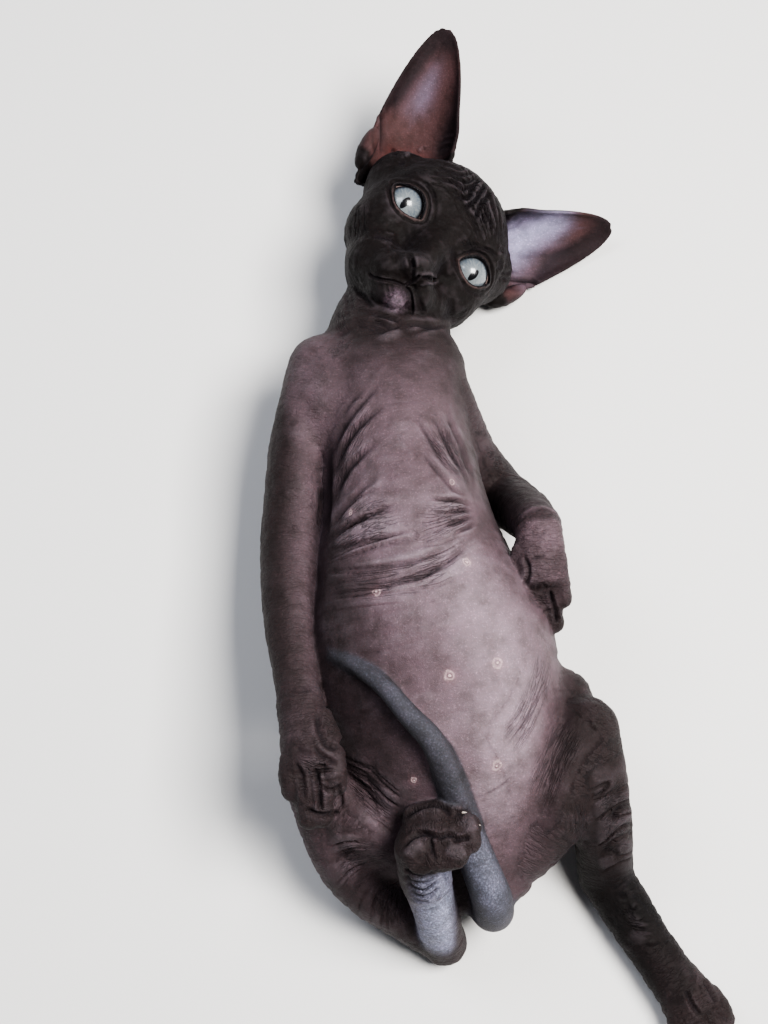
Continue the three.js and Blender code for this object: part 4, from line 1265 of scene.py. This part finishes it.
class Wires:
    # short ways to add and join the nodes of one material
    def __init__(self, tree):
        self.tree = tree
        self.where = self.add("ShaderNodeTexCoord").outputs["Object"]

    def add(self, kind, inputs=None, **settings):
        node = self.tree.nodes.new(kind)
        for key, value in settings.items():
            setattr(node, key, value)
        for key, value in (inputs or {}).items():
            self.join(value, node.inputs[key])
        return node

    def join(self, value, socket):
        if hasattr(value, "is_output"):
            self.tree.links.new(value, socket)
        else:
            socket.default_value = value

    def mark(self, name):
        return self.add("ShaderNodeAttribute", attribute_name=name).outputs["Fac"]

    def math(self, operation, a, b=0.0):
        return self.add("ShaderNodeMath", {0: a, 1: b}, operation=operation).outputs[0]

    def plus(self, a, b):
        return self.math("ADD", a, b)

    def minus(self, a, b):
        return self.math("SUBTRACT", a, b)

    def times(self, a, b):
        return self.math("MULTIPLY", a, b)

    def ramp(self, value, low, high, a=0.0, b=1.0):
        ends = {"Value": value, "From Min": low, "From Max": high, "To Min": a, "To Max": b}
        return self.add("ShaderNodeMapRange", ends).outputs["Result"]

    def mix(self, share, a, b, kind="MIX"):
        colours = {0: share, 6: a, 7: b}
        return self.add("ShaderNodeMix", colours, data_type="RGBA", blend_type=kind).outputs[2]

    def noise(self, scale, detail, rough=0.55, at=None):
        inputs = {"Vector": at or self.where, "Scale": scale, "Detail": detail, "Roughness": rough}
        return self.add("ShaderNodeTexNoise", inputs).outputs["Fac"]

    def cells(self, scale, feature="F1"):
        inputs = {"Vector": self.where, "Scale": scale}
        return self.add("ShaderNodeTexVoronoi", inputs, feature=feature).outputs["Distance"]

    def joined(self, x, y, z):
        return self.add("ShaderNodeCombineXYZ", {"X": x, "Y": y, "Z": z}).outputs[0]

    def bump(self, height, strength, distance, under=None):
        inputs = {"Height": height, "Strength": strength, "Distance": distance}
        if under:
            inputs["Normal"] = under
        return self.add("ShaderNodeBump", inputs).outputs["Normal"]


skinColours = {
    "darkest": (0.0035, 0.0026, 0.0024, 1),
    "limb": (0.0175, 0.012, 0.0118, 1),
    "body": (0.078, 0.054, 0.060, 1),
    "belly": (0.17, 0.130, 0.145, 1),
    "head": (0.0050, 0.0033, 0.0030, 1),
    "tail": (0.025, 0.0235, 0.025, 1),
    # painted sheen, grainy blue-grey
    "paintedSheen": (0.25, 0.27, 0.36, 1),
    "ear": (0.052, 0.026, 0.025, 1),
    "earDark": (0.012, 0.008, 0.009, 1),
    # painted sheen inside the ears
    "earMauve": (0.30, 0.29, 0.42, 1),
    "canal": (0.05, 0.014, 0.012, 1),
    # painted shade laid into creases and fine wrinkles
    "creaseShade": (0.006, 0.004, 0.005, 1),
    # painted sheen on the tops of the folds
    "ridgeSheen": (0.24, 0.20, 0.22, 1),
    "pink": (0.26, 0.14, 0.15, 1),
    "chin": (0.075, 0.050, 0.065, 1),
    "pale": (0.52, 0.40, 0.38, 1),
    "rim": (0.09, 0.06, 0.055, 1),
    "lid": (0.004, 0.003, 0.004, 1),
}


skinFinish = {
    "Specular IOR Level": 0.13,
    "Sheen Weight": 0.02,
    "Sheen Roughness": 0.45,
    "Sheen Tint": (0.8, 0.76, 0.88, 1),
    "Subsurface Weight": 0.05,
    "Subsurface Radius": (1.0, 0.35, 0.25),
    "Subsurface Scale": 0.002,
}
skinLayers = [  # each mark lays its own colour over the tones, this strongly
    # the ears' mauve band among these is a painted sheen
    ("ear", 1.0), ("earDark", 0.9), ("earMauve", 0.95), ("canal", 1.0), ("pink", 0.4),
]


def skinMaterial():
    material, shader, w = newMaterial("bareSkin", skinFinish)
    c = skinColours
    mottle, grain = w.noise(160, 4), w.noise(1500, 3, 0.6)
    height = w.mark("height")
    drawn = w.joined(w.mark("foldAcross"), w.mark("foldAlong"), w.mark("foldRound"))
    fineLine = w.math("ABSOLUTE", w.minus(w.noise(1.0, 2.0, 0.5, at=drawn), 0.5))
    tone = w.times(w.mark("tone"), w.ramp(w.noise(38, 4), 0.25, 0.75, 0.72, 1.22))
    colour = w.mix(w.ramp(tone, -0.7, 0.0), c["darkest"], c["limb"])

    def laid(share, name, strength=None):
        # this colour over what is there
        share = share if strength is None else w.times(share, strength)
        return w.mix(share, colour, c[name])

    def multiplied(share, times):
        return w.mix(share, colour, w.mix(1.0, colour, (*times, 1), "MULTIPLY"))

    colour = laid(w.ramp(tone, 0.0, 0.5), "body")
    colour = laid(w.ramp(tone, 0.5, 1.0), "belly")
    colour = laid(w.mark("head"), "head")
    colour = laid(w.mark("tail"), "tail")
    # painted sheen on the right hind foot and the tail's upper side
    colour = laid(w.mark("paintedSheen"), "paintedSheen", w.ramp(grain, 0.3, 0.7, 0.3, 0.95))
    for name, strength in skinLayers:
        colour = laid(w.mark(name), name, strength)
    colour = laid(w.mark("chin"), "chin", w.ramp(w.noise(900, 3, 0.7), 0.4, 0.62, 0.25, 1.0))
    # painted sheen: lighter where the skin rises, more on paler skin
    colour = laid(w.ramp(height, 0.05, 0.75, 0.0, 0.3), "ridgeSheen", w.ramp(tone, 0.0, 0.5, 0.4, 1.0))
    # painted shade: darker where the skin sinks into a crease
    colour = laid(w.ramp(height, -0.2, -1.3, 0.0, 0.7), "creaseShade")
    uneven = w.times(w.minus(w.noise(600, 2), 0.5), 0.0018)
    raised = 0.0
    for at, ring in zip(studsAt, studs.values()):  # a pale ring round a pale point with a pink middle
        far = w.add("ShaderNodeVectorMath", {0: w.where, 1: at.tolist()}, operation="DISTANCE")
        far = w.math("DIVIDE", w.plus(far.outputs["Value"], uneven), ring / 1000)
        halo = w.times(w.ramp(far, 0.4, 0.75), w.ramp(far, 1.1, 0.8))
        nipple = w.ramp(far, 0.34, 0.22)
        raised = w.plus(raised, w.plus(nipple, w.times(halo, 0.3)))
        colour = laid(w.math("MAXIMUM", w.times(halo, 0.5), nipple), "pale", 0.7)
        colour = laid(w.ramp(far, 0.12, 0.02), "pink", 0.7)
    colour = laid(w.mark("rim"), "rim", 0.8)
    # painted shade along the drawn crease lines
    colour = laid(w.mark("dark"), "creaseShade")
    # painted shade in the lines of the fine wrinkles
    colour = laid(w.times(w.ramp(fineLine, 0.0, 0.045, 1.0, 0.0), w.mark("fold")), "creaseShade", 0.55)
    colour = multiplied(w.ramp(mottle, 0.35, 0.7, 0.0, 0.6), (1.6, 1.5, 1.62))
    colour = multiplied(w.ramp(mottle, 0.5, 0.3, 0.0, 0.35), (0.6, 0.55, 0.55))
    colour = multiplied(w.ramp(grain, 0.55, 0.7, 0.0, 0.45), (2.2, 2.1, 2.2))
    colour = multiplied(w.ramp(w.cells(420.0), 0.08, 0.05, 0.0, 0.35), (3.0, 2.7, 2.7))
    w.join(laid(w.mark("lid"), "lid"), shader["Base Color"])
    rough = w.minus(w.ramp(grain, 0.3, 0.7, 0.5, 0.66), w.times(w.mark("tone"), 0.08))
    w.join(w.minus(rough, w.times(w.mark("lid"), 0.3)), shader["Roughness"])
    pores = w.ramp(w.cells(2300.0, "DISTANCE_TO_EDGE"), 0.0, 0.28, 0.0, 0.7)
    relief = w.bump(w.plus(pores, w.times(grain, 0.6)), 0.5, 0.0002)
    relief = w.bump(w.noise(420, 4), 0.45, 0.0009, relief)
    relief = w.bump(w.times(w.ramp(fineLine, 0.0, 0.09, -1.0, 0.0), w.mark("fold")), 0.8, 0.0006, relief)
    w.join(w.bump(raised, 0.8, 0.0007, relief), shader["Normal"])
    return material


def hornMaterial():
    material, shader, w = newMaterial("clawHorn", {"Coat Weight": 0.4, "Coat Roughness": 0.15})
    streaks = w.noise(900, 4, 0.6)
    colour = w.mix(w.ramp(streaks, 0.35, 0.7), (0.20, 0.16, 0.14, 1), (0.42, 0.37, 0.33, 1))
    w.join(colour, shader["Base Color"])
    w.join(w.ramp(streaks, 0.3, 0.7, 0.25, 0.4), shader["Roughness"])
    return material


irisColours = {
    "inner": (0.15, 0.17, 0.18, 1),
    "outer": (0.07, 0.09, 0.115, 1),
    "fleck": (0.27, 0.28, 0.27, 1),
    "rim": (0.012, 0.012, 0.016, 1),
    "white": (0.30, 0.22, 0.20, 1),
    "pupil": (0.002, 0.002, 0.003, 1),
}
irisShape = {"radius": 7.0, "pupil": (1.25, 2.5)}
eyeFinish = {"Roughness": 0.25, "Coat Weight": 1.0, "Coat Roughness": 0.02, "Coat IOR": 1.4}


def irisMaterial():
    # rings of colour by the distance r from the pupil, crossed by fibres that follow the angle
    material, shader, w = newMaterial("kittenIris", eyeFinish)
    c = irisColours
    x, y, z = w.mark("irisX"), w.mark("irisY"), w.mark("irisZ")
    r = w.math("SQRT", w.plus(w.times(x, x), w.times(y, y)))
    angle = w.math("ARCTAN2", y, x)
    rays = w.joined(w.math("COSINE", angle), w.math("SINE", angle), w.times(r, 0.08))
    colour = w.mix(w.ramp(r, 2.0, 6.5), c["inner"], c["outer"])
    colour = w.mix(w.ramp(w.noise(9.0, 5, 0.7, at=rays), 0.42, 0.68, 0.0, 0.65), colour, c["fleck"])
    edge = irisShape["radius"]
    colour = w.mix(w.ramp(r, edge - 1.3, edge - 0.2), colour, c["rim"])
    colour = w.mix(w.ramp(r, edge + 0.1, edge + 0.7), colour, c["white"])
    px = w.math("DIVIDE", x, irisShape["pupil"][0])
    py = w.math("DIVIDE", y, irisShape["pupil"][1])
    slit = w.plus(w.times(px, px), w.math("ABSOLUTE", w.math("POWER", w.math("ABSOLUTE", py), 1.6)))
    colour = w.mix(w.times(w.ramp(z, 0.0, 1.0), w.ramp(slit, 1.25, 0.95)), colour, c["pupil"])
    w.join(colour, shader["Base Color"])
    return material


# ---- floor, light and camera
floorPlan = {"half": 1.6, "finish": {"Base Color": (0.78, 0.77, 0.75, 1), "Roughness": 0.7}}
h = floorPlan["half"]
floorMesh = bpy.data.meshes.new("floor")
floorMesh.from_pydata([(-h, -h, 0), (h, -h, 0), (h, h, 0), (-h, h, 0)], [], [(0, 1, 2, 3)])
floor = placed("floor", floorMesh)
floorMesh.materials.append(newMaterial("paleFloor", floorPlan["finish"])[0])

world = bpy.data.worlds.new("studio")
bpy.context.scene.world = world
world.use_nodes = True
background = world.node_tree.nodes["Background"].inputs
background["Color"].default_value = (0.86, 0.9, 1.0, 1)
background["Strength"].default_value = 0.1
bpy.context.scene.view_settings.look = "AgX - Medium High Contrast"

lamps = {
    "window": {
        "at": (0.5, -0.05, 1.08), "aim": (0, 0, 0.05), "size": (0.55, 0.55), "watts": 35,
        "colour": (1, 0.98, 0.96),
    },
    "sky": {
        "at": (-0.6, 0.4, 1.0), "aim": (0, 0, 0.05), "size": (0.6, 0.5), "watts": 7,
        "colour": (0.86, 0.9, 1.0),
    },
}
for name, lamp in lamps.items():
    light = bpy.data.lights.new(name, "AREA")
    light.shape = "RECTANGLE"
    light.size, light.size_y = lamp["size"]
    light.energy = lamp["watts"]
    light.color = lamp["colour"]
    z = unit(np.array(lamp["at"]) - lamp["aim"])
    x = unit(np.cross([0, 1, 0.001], z))
    matrix = np.eye(4)
    matrix[:3] = np.stack([x, np.cross(z, x), z, lamp["at"]], 1)
    placed(name, light).matrix_world = Matrix(matrix.tolist())

camera = bpy.data.cameras.new("camera")
camera.sensor_fit = "VERTICAL"
camera.sensor_height = 36
camera.lens = lensPixels / picture["height"] * 36
viewer = placed("camera", camera)
viewer.location = ((eyeAt + shift) / 1000).tolist()
viewer.rotation_euler = (math.radians(90 - picture["elevation"]), 0, 0)
bpy.context.scene.camera = viewer

# ---- finish
skin.data.materials.clear()
skin.data.materials.append(skinMaterial())
iris = irisMaterial()
for node, piece in eyes.items():
    piece.data.materials.append(iris)
    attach(piece, "root")
    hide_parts(node)
claws.data.materials.append(hornMaterial())
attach(claws, "root")
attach(skin, "root")
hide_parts(*[n for n in frame["nodes"] if not n.startswith("eye")])
